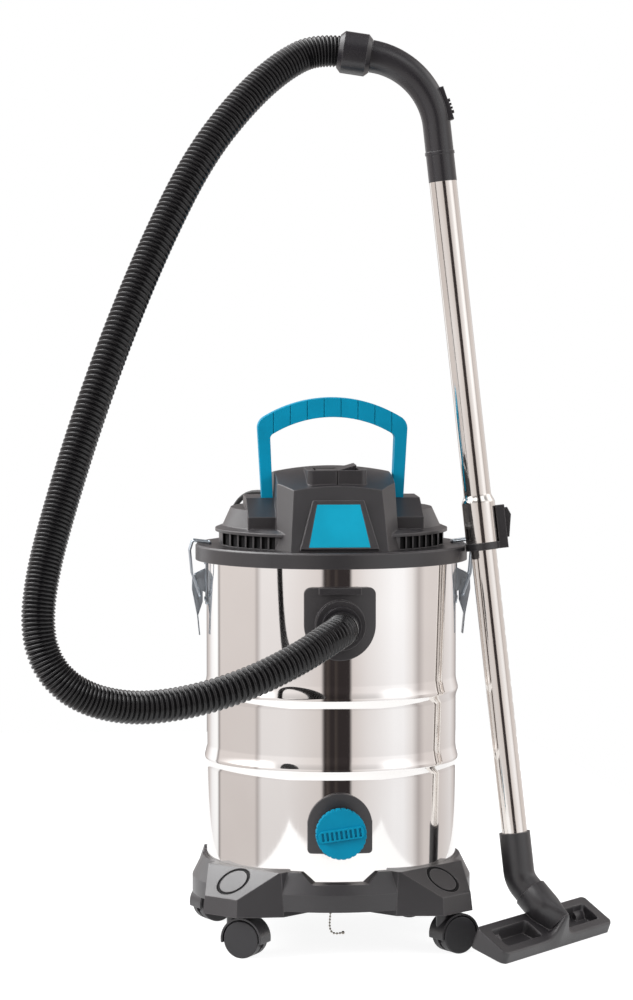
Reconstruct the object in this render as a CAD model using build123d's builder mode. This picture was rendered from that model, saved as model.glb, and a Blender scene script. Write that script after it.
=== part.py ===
"""Wet and dry shop vacuum on a caster dolly, with hose, telescopic wand and floor nozzle.

Units are millimetres. +Z is up, the origin is on the floor under the drum's axis and the
vacuum's front faces -Y. Each sub-part is a separate solid in its own STEP file.
"""
import os
from math import atan2, cos, degrees, pi, radians, sin, sqrt, tan

from build123d import *

os.makedirs("parts", exist_ok=True)

# Fits
seat_gap = 0.3  # between pieces that are seated but not pressed together
running_gap = 0.05  # radial clearance of a pin or shaft that turns in its hole
sliding_gap = 0.15  # radial clearance of a tube that slides in a bush

# Base (dolly)
base_bottom_z = 64.5
base_floor_thickness = 4.0
base_top_z = 115.0
base_rim_margin = 6.0  # outside the drum's wall
base_skirt_margin = 20.0
base_crease_z = 87.0
notch_bottom_z = 100.0
notch_bottom_width = 74.0
notch_top_width = 104.0
foot_margin = 55.0  # from the drum's wall to the foot's outer lip, along the diagonal
foot_bottom_z = 57.0
foot_lip_height = 22.0
foot_lip_width = 60.0
foot_root_width = 144.0
foot_root_margin = 8.0
foot_taper = 6.0
foot_disc_diameter = 40.0
foot_groove_width = 4.5
foot_groove_depth = 3.5

# Casters
caster_spacing = 280.0  # between stem axes, both ways
caster_trail = 18.0
wheel_radius = 25.0
wheel_width = 14.0
wheel_gap = 0.6  # between a wheel and the web beside it
hood_gap = 1.6
hood_wall = 2.6
web_thickness = 4.0
axle_radius = 3.0
stem_radius = 5.5
stem_length = 28.0
neck_radius = 9.0
caster_trail_azimuths = {
    "front_left": -27.0,
    "front_right": 27.0,
    "rear_left": 204.0,
    "rear_right": 163.0,
}

# Drum
drum_radius = 170.0
drum_wall = 0.8
drum_top_z = 534.0
drum_lip = 4.0
drum_corner = 8.0
rib_height = 3.0
rib_crest_zs = (250.0, 344.0)
rib_upper_flank = 17.0
rib_lower_flank = 12.0
rib_crest_width = 3.0

# Lid
lid_margin = 15.0  # outside the drum's wall
lid_top_z = 540.0
lid_rim_height = 21.0
lid_wall = 3.0
lid_eye_radius = 50.0
seal_width = 8.0

# Motor cover
cover_wall = 3.0
tier_radius = 153.0
brow_radius = 158.0
brow_z = 558.0
brow_height = 4.0
shoulder_foot_radius = 148.0
shoulder_foot_z = 566.0
shoulder_radius = 137.0
shoulder_z = 590.0
block_half_width = 82.0
block_top_half_width = 78.0
block_front_half_width = 65.0
block_top_front_half_width = 57.0
block_front_y = -165.0
block_rear_y = 112.0
block_slope = 0.42  # how far the front leans back for each millimetre of height
block_corner = 34.0
dome_radius = 384.0
dome_top_z = 646.0
dome_centre_y = -5.0
vent_width = 7.7
vent_pitch = 9.7
vent_count = 7
vent_height = 16.5
vent_centre_x = 116.0
box_inner_x = 78.0
box_outer_x = 118.0
box_front_y = -96.0
box_rear_y = 50.0
box_height = 38.0
box_front_height = 16.0
box_slope_y = -34.0  # where the top starts to fall towards the front
nose_proud = 5.0
nose_bottom_half_width = 52.0
nose_top_half_width = 34.0
nose_low = 2.8  # up the slope from the lid
nose_high = 71.0
panel_thickness = 2.0
panel_bottom_half_width = 40.5
panel_top_half_width = 28.5
panel_low = 5.2
panel_high = 65.0

# Switch
hood_width = 80.0
hood_front_y = -122.0
hood_depth = 88.0
hood_corner = 8.0
hood_floor_z = 618.0
pocket_width = 60.0
pocket_depth = 56.0
pocket_floor_z = 630.0
pocket_front_wall = 10.0
switch_throw = 16.0  # degrees from off to on
switch_half_width = 26.0
switch_pin_radius = 2.0
switch_pin_z = 638.0
switch_pin_reach = 3.0

# Carry handle
handle_y = -15.0
handle_depth = 30.0
handle_root_half_width = 96.0
handle_top_half_width = 102.0
handle_root_inner = 81.2
handle_top_inner = 84.7
handle_corner_z = 707.0
handle_top_z = 739.0
handle_corner_radius = 18.0
handle_inner_radius = 7.0
handle_inner_corner_z = 688.0
handle_inner_top_z = 713.0
handle_socket_depth = 15.0
handle_groove_pitch = 22.9
handle_groove_count = 8
handle_groove = 1.2

# Motor, fan and filter
shroud_radius = 68.0
shroud_height = 28.0
shroud_wall = 1.5
shroud_eye_radius = 24.0
fan_radius = 58.0
fan_disc = 1.2
fan_blade_count = 7
fan_floor_gap = 5.0
fan_height = 14.0
shaft_radius = 4.0
motor_radius = 50.0
motor_height = 46.0
cage_radius = 60.0
cage_wall = 2.5
cage_bottom_z = 420.0
cage_flange_radius = 75.0
cage_flange = 3.0
cage_slot_width = 12.0
cage_slot_height = 70.0
cage_slot_count = 12
float_radius = 34.0
float_height = 36.0
cartridge_radius = 80.0
cartridge_pleat = 8.0
cartridge_pleat_count = 36
cartridge_height = 104.0

# Inlet
inlet_z = 445.0
inlet_plate_width = 95.0
inlet_plate_top_z = 494.0
plate_thickness = 6.5
inlet_plate_corner = 9.0
inlet_ledge_width = 56.0
inlet_boss_radius = 33.0
inlet_boss_margin = 20.0  # outside the drum's wall
inlet_bore_radius = 23.2
inlet_hole_radius = 27.0
connector_radius = 26.0
connector_shown = 16.0  # how far it stands out of the boss
connector_bore_radius = 17.5

# Drain
drain_z = 170.0
drain_plate_half_width = 43.0
drain_plate_bottom_z = 141.0
drain_plate_arch_z = 178.0
drain_plate_corner = 5.0
drain_neck_radius = 27.0
drain_neck_margin = 13.0  # outside the drum's wall
drain_bore_radius = 22.0
drain_hole_radius = 25.0
cap_radius = 33.5
cap_thickness = 14.0
cap_lobe_count = 28
cap_lobe_radius = 1.7
cap_band_length = 60.0
cap_band_width = 15.0
cap_band_height = 4.0
cap_band_tilt = 8.0
cap_slot_count = 9
cap_slot_width = 3.2
cap_slot_pitch = 6.2
cap_stem_length = 14.0
gasket_thickness = 2.0

# Latches, in their own plane: reach from the drum's axis and height
latch_pivot_margin = 12.0  # outside the drum's wall
latch_pivot_z = 490.0
latch_arm_drop = 20.5  # from the lever's pivot down to the bail's pivot
latch_arm_inset = 2.5  # the bail's pivot lies this much nearer the drum than the lever's
latch_pin_radius = 2.5
latch_sheet = 1.5
latch_ear_inner = 8.0  # half the gap between the bracket's ears
latch_cheek_outer = 7.5
latch_plate_width = 30.0
latch_plate_height = 64.0
latch_ear_half_height = 9.0
lever_length = 48.0
lever_tab_length = 26.0
bail_wire_radius = 1.6
bail_half_width = 13.0
bail_bulge_margin = 23.0
bail_hook_clearance = 12.0  # from the cover's vent tier to the hook's bar
bail_ledge_gap = 0.4

# Wand: where it leans on the lid's rim and which way it points
wand_lean_azimuth = -15.1
wand_rim_gap = 0.7
wand_direction = (-0.1075, 0.048, 0.9931)
wand_right = (0.998, -0.0645, 0.0)  # the side of the wand that carries the tube lock
upper_tube_radius = 18.5
lower_tube_radius = 17.3
tube_wall = 1.0
upper_tube_length = 490.0
swage_radius = 22.5
swage_length = 62.0
swage_cone = 9.0
sleeve_radius = 23.5
sleeve_flange = 10.0
sleeve_bush_length = 52.0
lower_tube_overlap = 100.0  # how far the lower tube reaches into the upper tube
lower_tube_shown = 385.0  # from the sleeve down to the nozzle's cuff
lower_tube_in_cuff = 34.0
detent_pitch = 23.0
detent_count = 13
detent_radius = 4.5
detent_depth = 0.6

# Tube lock
lug_width = 20.0
lug_height = 58.0
lug_reach = 34.0
button_width = 12.0
button_length = 40.0
button_proud = 8.0
button_travel = 4.0
button_pocket = 9.0

# Grip and swivel collar
grip_straight = 77.0
grip_bend_radius = 105.0
grip_bend = 75.0
grip_tube_end_radius = 19.0
grip_hose_end_radius = 22.0
grip_bore_radius = 15.5
grip_spigot_length = 32.0
grip_ring_radius = 20.0
grip_ring_width = 4.0
collar_radius = 28.5
collar_length = 44.0
collar_chamfer = 6.0
collar_spigot_radius = 20.0
collar_spigot_length = 16.0
collar_socket = 12.0
regulator_length = 46.0
regulator_width = 22.0
slider_length = 20.0
slider_width = 12.0
slider_height = 6.0
slider_travel = 10.0
slider_track_depth = 3.0

# Hose
hose_radius = 21.5
hose_root_radius = 19.2
hose_bore_radius = 17.0
hose_rib_count = 84

# Nozzle
nozzle_long_azimuth = 53.0  # the long axis, from +X
nozzle_pitch = 20.0  # the sole's tilt, with the front edge on the floor
neck_rise = 43.5  # the neck's slope above the floor
nozzle_lead = 60.0  # from the elbow's bend forward to the nozzle's front edge
nozzle_length = 290.0
nozzle_depth = 56.0
nozzle_front_height = 15.0
nozzle_rear_height = 29.0
nozzle_corner = 9.0
nozzle_pocket_length = 92.0
nozzle_pocket_depth = 30.0
nozzle_pocket_floor = 7.5
nozzle_pocket_centre_x = 78.0
cuff_radius = 21.0
cuff_length = 65.0
elbow_reach = 22.0  # from the bend to the swivel plane
elbow_bend_radius = 34.0
elbow_bore_radius = 15.0
neck_outer_radius = 23.5
neck_length = 76.0
neck_front_half_width = 9.0
swivel_spigot_radius = 18.0
swivel_spigot_length = 12.0
mouth_length = 262.0
mouth_width = 14.0
mouth_depth = 5.0
mouth_inset = 11.0
lip_thickness = 2.5
lip_height = 6.0
lip_proud = 1.5
roller_radius = 9.0
roller_width = 18.0
roller_offset_x = 112.0
roller_inset = 12.0
roller_axle_radius = 2.0
roller_proud = 3.0

# Earth chain
bead_radius = 1.6
bead_length = 2.6
bead_pitch = 4.6
link_width = 0.9

# Mains lead, gland, coil and plug
lead_radius = 3.5
gland_length = 34.0
gland_base_radius = 9.0
gland_tip_radius = 5.2
gland_stub_radius = 6.0
gland_stub_length = 8.0
gland_z = 602.0
coil_mean_radius = 47.0
coil_band = 31.0
coil_height = 31.0
coil_centre = (10.0, 283.0)
coil_lift = 1.8
coil_tail = 33.0
tie_width = 12.0
tie_thickness = 1.2
tie_gap = 0.4
tie_inner_gap = 1.2
plug_relief_length = 14.0
plug_relief_radius = 6.0
plug_length = 26.0
plug_radius = 16.5
plug_pin_radius = 2.4
plug_pin_length = 19.0
plug_pin_pitch = 19.0


def save(piece, name):
    """Label a finished sub-part and write its STEP file."""
    piece.part.label = name
    export_step(piece.part, f"parts/{name}.step")


def unit(vector):
    """The vector as a build123d Vector of length one."""
    return Vector(*vector).normalized()


# Base: a skirted ring with four sloped corner feet
base_floor_top_z = base_bottom_z + base_floor_thickness
drum_seat_radius = drum_radius + seat_gap
base_rim_radius = drum_radius + base_rim_margin
base_skirt_radius = drum_radius + base_skirt_margin
foot_reach = drum_radius + foot_margin
foot_root_reach = drum_radius + foot_root_margin
caster_reach = caster_spacing / sqrt(2)
foot_lip_top_z = foot_bottom_z + foot_lip_height
foot_slope_run = foot_reach - foot_root_reach
foot_slope_rise = base_top_z - foot_lip_top_z
foot_slope_angle = degrees(atan2(foot_slope_rise, foot_slope_run))
stem_hole_top_z = foot_bottom_z + stem_length + seat_gap

with BuildPart() as foot:
    with BuildSketch(Plane.XY.offset(foot_bottom_z)):
        with BuildLine():
            Polyline(
                (foot_reach, -foot_lip_width / 2),
                (foot_reach, foot_lip_width / 2),
                (foot_root_reach, foot_root_width / 2),
                (drum_radius / 2, foot_root_width / 2),
                (drum_radius / 2, -foot_root_width / 2),
                (foot_root_reach, -foot_root_width / 2),
                close=True,
            )
        make_face()
    extrude(amount=base_top_z - foot_bottom_z, taper=foot_taper)
    with BuildSketch(Plane.XZ.offset(-foot_root_width)):
        with BuildLine():
            Polyline(
                (drum_radius / 2 + foot_slope_rise, foot_bottom_z),
                (foot_reach, foot_bottom_z),
                (foot_reach, foot_lip_top_z),
                (foot_root_reach, base_top_z),
                (drum_radius / 2 + foot_slope_rise, base_top_z),
                close=True,
            )
        make_face()
    extrude(amount=2 * foot_root_width, mode=Mode.INTERSECT)
    # The round disc on the sloped plate, over the caster stem
    disc_z = foot_lip_top_z + (foot_reach - caster_reach) * tan(radians(foot_slope_angle))
    disc_plane = Plane(
        origin=(caster_reach, 0, disc_z),
        x_dir=(0, 1, 0),
        z_dir=(sin(radians(foot_slope_angle)), 0, cos(radians(foot_slope_angle))),
    )
    with BuildSketch(disc_plane):
        Circle(foot_disc_diameter / 2 + foot_groove_width)
        Circle(foot_disc_diameter / 2, mode=Mode.SUBTRACT)
    extrude(amount=-foot_groove_depth, mode=Mode.SUBTRACT)
    # The drum's seat stays clear
    with Locations((0, 0, base_floor_top_z)):
        Cylinder(
            drum_seat_radius,
            base_top_z,
            align=(Align.CENTER, Align.CENTER, Align.MIN),
            mode=Mode.SUBTRACT,
        )

with BuildPart() as base:
    with BuildSketch(Plane.XZ):
        with BuildLine():
            Polyline(
                (0, base_bottom_z),
                (base_skirt_radius, base_bottom_z),
                (base_skirt_radius, base_crease_z),
                (base_rim_radius, base_top_z),
                (drum_seat_radius, base_top_z),
                (drum_seat_radius, base_floor_top_z),
                (0, base_floor_top_z),
                close=True,
            )
        make_face()
    revolve(axis=Axis.Z)
    # One foot points along each diagonal
    with Locations(*[Location((0, 0, 0), (0, 0, 45 + 90 * k)) for k in range(4)]):
        add(foot.part)
    # A hole for each caster's stem
    with BuildSketch(Plane.XY.offset(foot_bottom_z)):
        with GridLocations(caster_spacing, caster_spacing, 2, 2):
            Circle(stem_radius + running_gap)
    extrude(amount=stem_hole_top_z - foot_bottom_z, mode=Mode.SUBTRACT)
    # The front notch shows the drum's foot
    with BuildSketch(Plane.XZ.offset(drum_radius / 2)):
        with BuildLine():
            Polyline(
                (-notch_bottom_width / 2, notch_bottom_z),
                (notch_bottom_width / 2, notch_bottom_z),
                (notch_top_width / 2, base_top_z + 1),
                (-notch_top_width / 2, base_top_z + 1),
                close=True,
            )
        make_face()
    extrude(amount=drum_radius, mode=Mode.SUBTRACT)
save(base, "base")

# Screws that hold the drum to the base, heads under its floor
screw_radius = 4.5
screw_height = 3.0
with BuildPart() as base_screws:
    with BuildSketch(Plane.XY.offset(base_bottom_z - screw_height)):
        with PolarLocations(drum_radius * 0.6, 4):
            Circle(screw_radius)
    extrude(amount=screw_height)
save(base_screws, "base_screws")

# Earth chain: beads on short links, hanging from the base and lying on the floor
chain_hang = int((base_bottom_z - 2 * bead_radius) / bead_pitch)
chain_points = [Vector(0, 0, base_bottom_z - bead_pitch * k) for k in range(chain_hang + 1)]
chain_points += [
    Vector(bead_pitch * (k + 0.4), bead_pitch * 0.2 * k, bead_radius) for k in range(1, 4)
]
with BuildPart() as earth_chain:
    for start, end in zip(chain_points, chain_points[1:]):
        along = (end - start).normalized()
        with BuildSketch(Plane(origin=start, z_dir=along)):
            Rectangle(link_width, link_width)
        extrude(amount=(end - start).length)
        middle = start + along * ((end - start).length - bead_length) / 2
        with BuildSketch(Plane(origin=middle, z_dir=along)):
            RegularPolygon(bead_radius, 6)
        extrude(amount=bead_length)
save(earth_chain, "earth_chain")

# Casters: a hooded twin-wheel housing that swivels on its stem, and its wheel pair
wheel_outer_y = web_thickness / 2 + wheel_gap + wheel_width
hood_inner_radius = wheel_radius + hood_gap
hood_outer_radius = hood_inner_radius + hood_wall
neck_top_z = foot_bottom_z - seat_gap
stem_top_z = foot_bottom_z + stem_length
for corner, azimuth in caster_trail_azimuths.items():
    stem_x = caster_spacing / 2 * (-1 if "left" in corner else 1)
    stem_y = caster_spacing / 2 * (-1 if "front" in corner else 1)
    trail = (cos(radians(azimuth)), sin(radians(azimuth)), 0)
    # Local X runs along the trail, local Y up; the axle is the plane's normal
    axle_plane = Plane(
        origin=(stem_x, stem_y, 0), x_dir=trail, z_dir=(trail[1], -trail[0], 0)
    )
    stem_plane = Plane(origin=(stem_x, stem_y, 0), x_dir=trail, z_dir=(0, 0, 1))
    with BuildPart() as caster_housing:
        with BuildSketch(axle_plane.offset(-wheel_outer_y)):
            with Locations((caster_trail, wheel_radius)):
                Circle(hood_outer_radius)
                Circle(hood_inner_radius, mode=Mode.SUBTRACT)
            with Locations((caster_trail, wheel_radius * 0.8)):
                Rectangle(
                    3 * wheel_radius,
                    2 * wheel_radius,
                    align=(Align.CENTER, Align.MAX),
                    mode=Mode.SUBTRACT,
                )
        extrude(amount=2 * wheel_outer_y)
        with BuildSketch(stem_plane.offset(wheel_radius * 1.3)):
            Circle(neck_radius)
        extrude(amount=neck_top_z - wheel_radius * 1.3)
        with BuildSketch(axle_plane.offset(-wheel_outer_y)):
            with Locations((caster_trail, wheel_radius)):
                Circle(hood_inner_radius)
        extrude(amount=2 * wheel_outer_y, mode=Mode.SUBTRACT)
        with BuildSketch(axle_plane.offset(-web_thickness / 2)):
            with Locations((caster_trail, wheel_radius)):
                Circle(hood_inner_radius + hood_wall / 2)
            with Locations((caster_trail, wheel_radius * 0.55)):
                Rectangle(
                    3 * wheel_radius,
                    2 * wheel_radius,
                    align=(Align.CENTER, Align.MAX),
                    mode=Mode.SUBTRACT,
                )
        extrude(amount=web_thickness)
        with BuildSketch(axle_plane.offset(-web_thickness)):
            with Locations((caster_trail, wheel_radius)):
                Circle(axle_radius + running_gap)
        extrude(amount=2 * web_thickness, mode=Mode.SUBTRACT)
        with BuildSketch(stem_plane.offset(neck_top_z)):
            Circle(stem_radius)
        extrude(amount=stem_top_z - neck_top_z)
    save(caster_housing, f"caster_housing_{corner}")

    with BuildPart() as caster_wheels:
        with BuildSketch(axle_plane.offset(-wheel_outer_y)):
            with Locations((caster_trail, wheel_radius)):
                Circle(wheel_radius)
        extrude(amount=2 * wheel_outer_y)
        chamfer(caster_wheels.edges().filter_by(GeomType.CIRCLE), length=1.2)
        with BuildSketch(axle_plane.offset(-web_thickness / 2 - wheel_gap)):
            with Locations((caster_trail, wheel_radius)):
                Circle(wheel_radius + 1)
                Circle(axle_radius, mode=Mode.SUBTRACT)
        extrude(amount=web_thickness + 2 * wheel_gap, mode=Mode.SUBTRACT)
    save(caster_wheels, f"caster_wheels_{corner}")

# Drum: a thin deep-drawn shell with two rolled ribs and a turned-out lip


def drum_outline(inset):
    """Half profile of the drum's wall from the floor's centre to the lip, moved in by inset."""
    side = drum_radius - inset
    floor_z = base_floor_top_z + inset
    points = [(0, floor_z), (side - drum_corner, floor_z), (side, floor_z + drum_corner)]
    for crest_z in rib_crest_zs:
        points += [
            (side, crest_z - rib_lower_flank),
            (side + rib_height, crest_z - rib_crest_width / 2),
            (side + rib_height, crest_z + rib_crest_width / 2),
            (side, crest_z + rib_upper_flank),
        ]
    return points


with BuildPart() as drum:
    with BuildSketch(Plane.XZ):
        with BuildLine():
            Polyline(
                *drum_outline(0),
                (drum_radius, drum_top_z - drum_wall),
                (drum_radius + drum_lip, drum_top_z - drum_wall),
                (drum_radius + drum_lip, drum_top_z),
                (drum_radius - drum_wall, drum_top_z),
                *reversed(drum_outline(drum_wall)),
                close=True,
            )
        make_face()
    revolve(axis=Axis.Z)
    for hole_z, hole_radius in ((inlet_z, inlet_hole_radius), (drain_z, drain_hole_radius)):
        with BuildSketch(Plane.XZ):
            with Locations((0, hole_z)):
                Circle(hole_radius)
        extrude(amount=2 * drum_radius, mode=Mode.SUBTRACT)
save(drum, "drum")

# Lid: a plate with a deep rim round the drum's lip
lid_radius = drum_radius + lid_margin
lid_plate_z = lid_top_z - lid_wall
lid_rim_bottom_z = lid_top_z - lid_rim_height
with BuildPart() as lid:
    with BuildSketch(Plane.XZ):
        with BuildLine():
            Polyline(
                (lid_eye_radius, lid_plate_z),
                (lid_eye_radius, lid_top_z),
                (lid_radius - 2, lid_top_z),
                (lid_radius, lid_top_z - 2),
                (lid_radius, lid_rim_bottom_z),
                (lid_radius - lid_wall, lid_rim_bottom_z),
                (lid_radius - lid_wall, lid_plate_z),
                close=True,
            )
        make_face()
    revolve(axis=Axis.Z)
save(lid, "lid")

with BuildPart() as lid_seal:
    with BuildSketch(Plane.XY.offset(drum_top_z)):
        Circle(drum_radius + drum_lip)
        Circle(drum_radius + drum_lip - seal_width, mode=Mode.SUBTRACT)
    extrude(amount=lid_plate_z - drum_top_z)
save(lid_seal, "lid_seal")

# Motor cover: round vented tier, sloped shoulder, domed block, switch hood and nose


def block_outline(height, inset):
    """Corner points of the cover's block at a height above the lid, moved in by inset."""
    share = height / (dome_top_z - lid_top_z)
    half = block_half_width + (block_top_half_width - block_half_width) * share - inset
    front_half = block_front_half_width - inset / 2
    front_half += (block_top_front_half_width - block_front_half_width) * share
    front = block_front_y + block_slope * height + inset * sqrt(1 + block_slope**2)
    rear = block_rear_y - inset
    rear_half = half - block_corner
    return [
        (-front_half, front),
        (front_half, front),
        (half, front + block_corner),
        (half, rear - block_corner),
        (rear_half, rear),
        (-rear_half, rear),
        (-half, rear - block_corner),
        (-half, front + block_corner),
    ]


def cover_form(inset, bottom_z):
    """The cover's tier, shoulder and domed block as one solid, moved in by inset."""
    with BuildPart() as form:
        with BuildSketch(Plane.XZ):
            with BuildLine():
                Polyline(
                    (0, bottom_z),
                    (tier_radius - inset, bottom_z),
                    (tier_radius - inset, brow_z),
                    (brow_radius - inset, brow_z),
                    (brow_radius - inset, brow_z + brow_height - inset / 2),
                    (shoulder_foot_radius - inset, shoulder_foot_z - inset / 2),
                    (shoulder_radius - inset, shoulder_z - inset),
                    (0, shoulder_z - inset),
                    close=True,
                )
            make_face()
        revolve(axis=Axis.Z)
        # The shoulder stays below the boxes' tops and clear of their fronts
        with BuildSketch(Plane.YZ.offset(-box_outer_x - inset)):
            with BuildLine():
                Polyline(
                    (-2 * brow_radius, shoulder_foot_z - inset),
                    (box_front_y + inset, shoulder_foot_z - inset),
                    (box_front_y + inset, shoulder_foot_z + box_front_height - inset),
                    (box_slope_y, shoulder_foot_z + box_height - inset),
                    (box_slope_y, 2 * dome_top_z),
                    (-2 * brow_radius, 2 * dome_top_z),
                    close=True,
                )
            make_face()
        extrude(amount=2 * (box_outer_x + inset), mode=Mode.SUBTRACT)
        for height in (bottom_z - lid_top_z, dome_top_z - lid_top_z):
            with BuildSketch(Plane.XY.offset(lid_top_z + height)):
                with BuildLine():
                    Polyline(*block_outline(height, inset), close=True)
                make_face()
        loft()
        with Locations((0, dome_centre_y, dome_top_z - dome_radius)):
            Sphere(dome_radius - inset, mode=Mode.INTERSECT)
    return form.part


front_lean = atan2(block_slope, 1)
nose_plane = Plane(
    origin=(0, block_front_y, lid_top_z),
    x_dir=(1, 0, 0),
    z_dir=(0, -cos(front_lean), sin(front_lean)),
)
handle_leg_thickness = handle_root_half_width - handle_root_inner
box_bottom_z = shoulder_foot_z - cover_wall
box_top_z = shoulder_foot_z + box_height
# The gland stands on the rear left corner of the block
gland_share = (gland_z - lid_top_z) / (dome_top_z - lid_top_z)
gland_half = block_half_width + (block_top_half_width - block_half_width) * gland_share
gland_plane = Plane(
    origin=(-gland_half + block_corner / 2, block_rear_y - block_corner / 2, gland_z),
    x_dir=(0, 0, 1),
    z_dir=(-1, 1, 0),
)
with BuildPart() as motor_cover:
    add(cover_form(0, lid_top_z))
    add(cover_form(cover_wall, lid_top_z - 1), mode=Mode.SUBTRACT)
    with Locations((-vent_centre_x, 0, lid_top_z + 1), (vent_centre_x, 0, lid_top_z + 1)):
        with GridLocations(vent_pitch, 0, vent_count, 1):
            Box(
                vent_width,
                2 * tier_radius,
                vent_height,
                align=(Align.CENTER, Align.CENTER, Align.MIN),
                mode=Mode.SUBTRACT,
            )
    # Shoulder boxes that hold the handle's feet
    for side_x in (-box_outer_x, box_inner_x):
        with BuildSketch(Plane.YZ.offset(side_x)):
            with BuildLine():
                Polyline(
                    (box_slope_y, box_top_z),
                    (box_front_y, shoulder_foot_z + box_front_height),
                    (box_front_y, box_bottom_z),
                    (box_rear_y, box_bottom_z),
                    (box_rear_y, box_top_z),
                    close=True,
                )
            make_face()
        extrude(amount=box_outer_x - box_inner_x)
    for side in (-1, 1):
        leg_x = side * (handle_root_half_width + handle_root_inner) / 2
        with Locations((leg_x, handle_y, box_top_z)):
            Box(
                handle_leg_thickness + 2 * seat_gap + 1,
                handle_depth + 2 * seat_gap,
                2 * handle_socket_depth,
                mode=Mode.SUBTRACT,
            )
    # Raised nose round the front panel
    with BuildSketch(nose_plane.offset(-1)):
        with BuildLine():
            Polyline(
                (-nose_bottom_half_width, nose_low),
                (nose_bottom_half_width, nose_low),
                (nose_top_half_width, nose_high),
                (-nose_top_half_width, nose_high),
                close=True,
            )
        make_face()
    extrude(amount=nose_proud + 1)
    with BuildSketch(nose_plane.offset(nose_proud)):
        with BuildLine():
            Polyline(
                (-panel_bottom_half_width - seat_gap, panel_low - seat_gap),
                (panel_bottom_half_width + seat_gap, panel_low - seat_gap),
                (panel_top_half_width + seat_gap, panel_high + seat_gap),
                (-panel_top_half_width - seat_gap, panel_high + seat_gap),
                close=True,
            )
        make_face()
    extrude(amount=-panel_thickness, mode=Mode.SUBTRACT)
    # Switch hood with its pocket
    hood_centre_y = hood_front_y + hood_depth / 2
    pocket_centre_y = hood_front_y + pocket_front_wall + pocket_depth / 2
    with BuildSketch(Plane.XY.offset(hood_floor_z)):
        with Locations((0, hood_centre_y)):
            RectangleRounded(hood_width, hood_depth, hood_corner)
    extrude(amount=dome_top_z - hood_floor_z)
    with BuildSketch(Plane.XY.offset(pocket_floor_z)):
        with Locations((0, pocket_centre_y)):
            Rectangle(pocket_width, pocket_depth)
    extrude(amount=dome_top_z, mode=Mode.SUBTRACT)
    with BuildSketch(Plane.XZ.offset(-pocket_centre_y - pocket_depth / 2 - switch_pin_reach)):
        with Locations((0, switch_pin_z)):
            Circle(switch_pin_radius + running_gap)
    extrude(amount=pocket_depth + 2 * switch_pin_reach, mode=Mode.SUBTRACT)
    with BuildSketch(gland_plane.offset(-gland_stub_length - cover_wall)):
        Circle(gland_stub_radius + seat_gap)
    extrude(amount=2 * gland_stub_length, mode=Mode.SUBTRACT)
    # A slit down the hood's front
    with Locations((0, hood_front_y, dome_top_z)):
        Box(2.4, 5, 2 * (dome_top_z - 626), mode=Mode.SUBTRACT)
save(motor_cover, "motor_cover")

with BuildPart() as front_panel:
    with BuildSketch(nose_plane.offset(nose_proud - panel_thickness)):
        with BuildLine():
            Polyline(
                (-panel_bottom_half_width, panel_low),
                (panel_bottom_half_width, panel_low),
                (panel_top_half_width, panel_high),
                (-panel_top_half_width, panel_high),
                close=True,
            )
        make_face()
    extrude(amount=panel_thickness)
save(front_panel, "front_panel")

# Rocker switch: its right half stands up until it is pressed
switch_rest_z = dome_top_z - 1
switch_rise = switch_half_width * tan(radians(switch_throw))
with BuildPart() as rocker_switch:
    with BuildSketch(Plane.XZ.offset(-pocket_centre_y - pocket_depth / 2 + seat_gap)):
        with BuildLine():
            Polyline(
                (-switch_half_width, switch_rest_z),
                (0, switch_rest_z),
                (switch_half_width, switch_rest_z + switch_rise),
                (switch_half_width, switch_rest_z + switch_rise - 4),
                (4, switch_pin_z - 4),
                (-4, switch_pin_z - 4),
                (-switch_half_width, switch_rest_z - 4),
                close=True,
            )
        make_face()
    extrude(amount=pocket_depth - 2 * seat_gap)
    with BuildSketch(
        Plane.XZ.offset(-pocket_centre_y - pocket_depth / 2 - switch_pin_reach + seat_gap)
    ):
        with Locations((0, switch_pin_z)):
            Circle(switch_pin_radius)
    extrude(amount=pocket_depth + 2 * switch_pin_reach - 2 * seat_gap)
save(rocker_switch, "rocker_switch")

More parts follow.
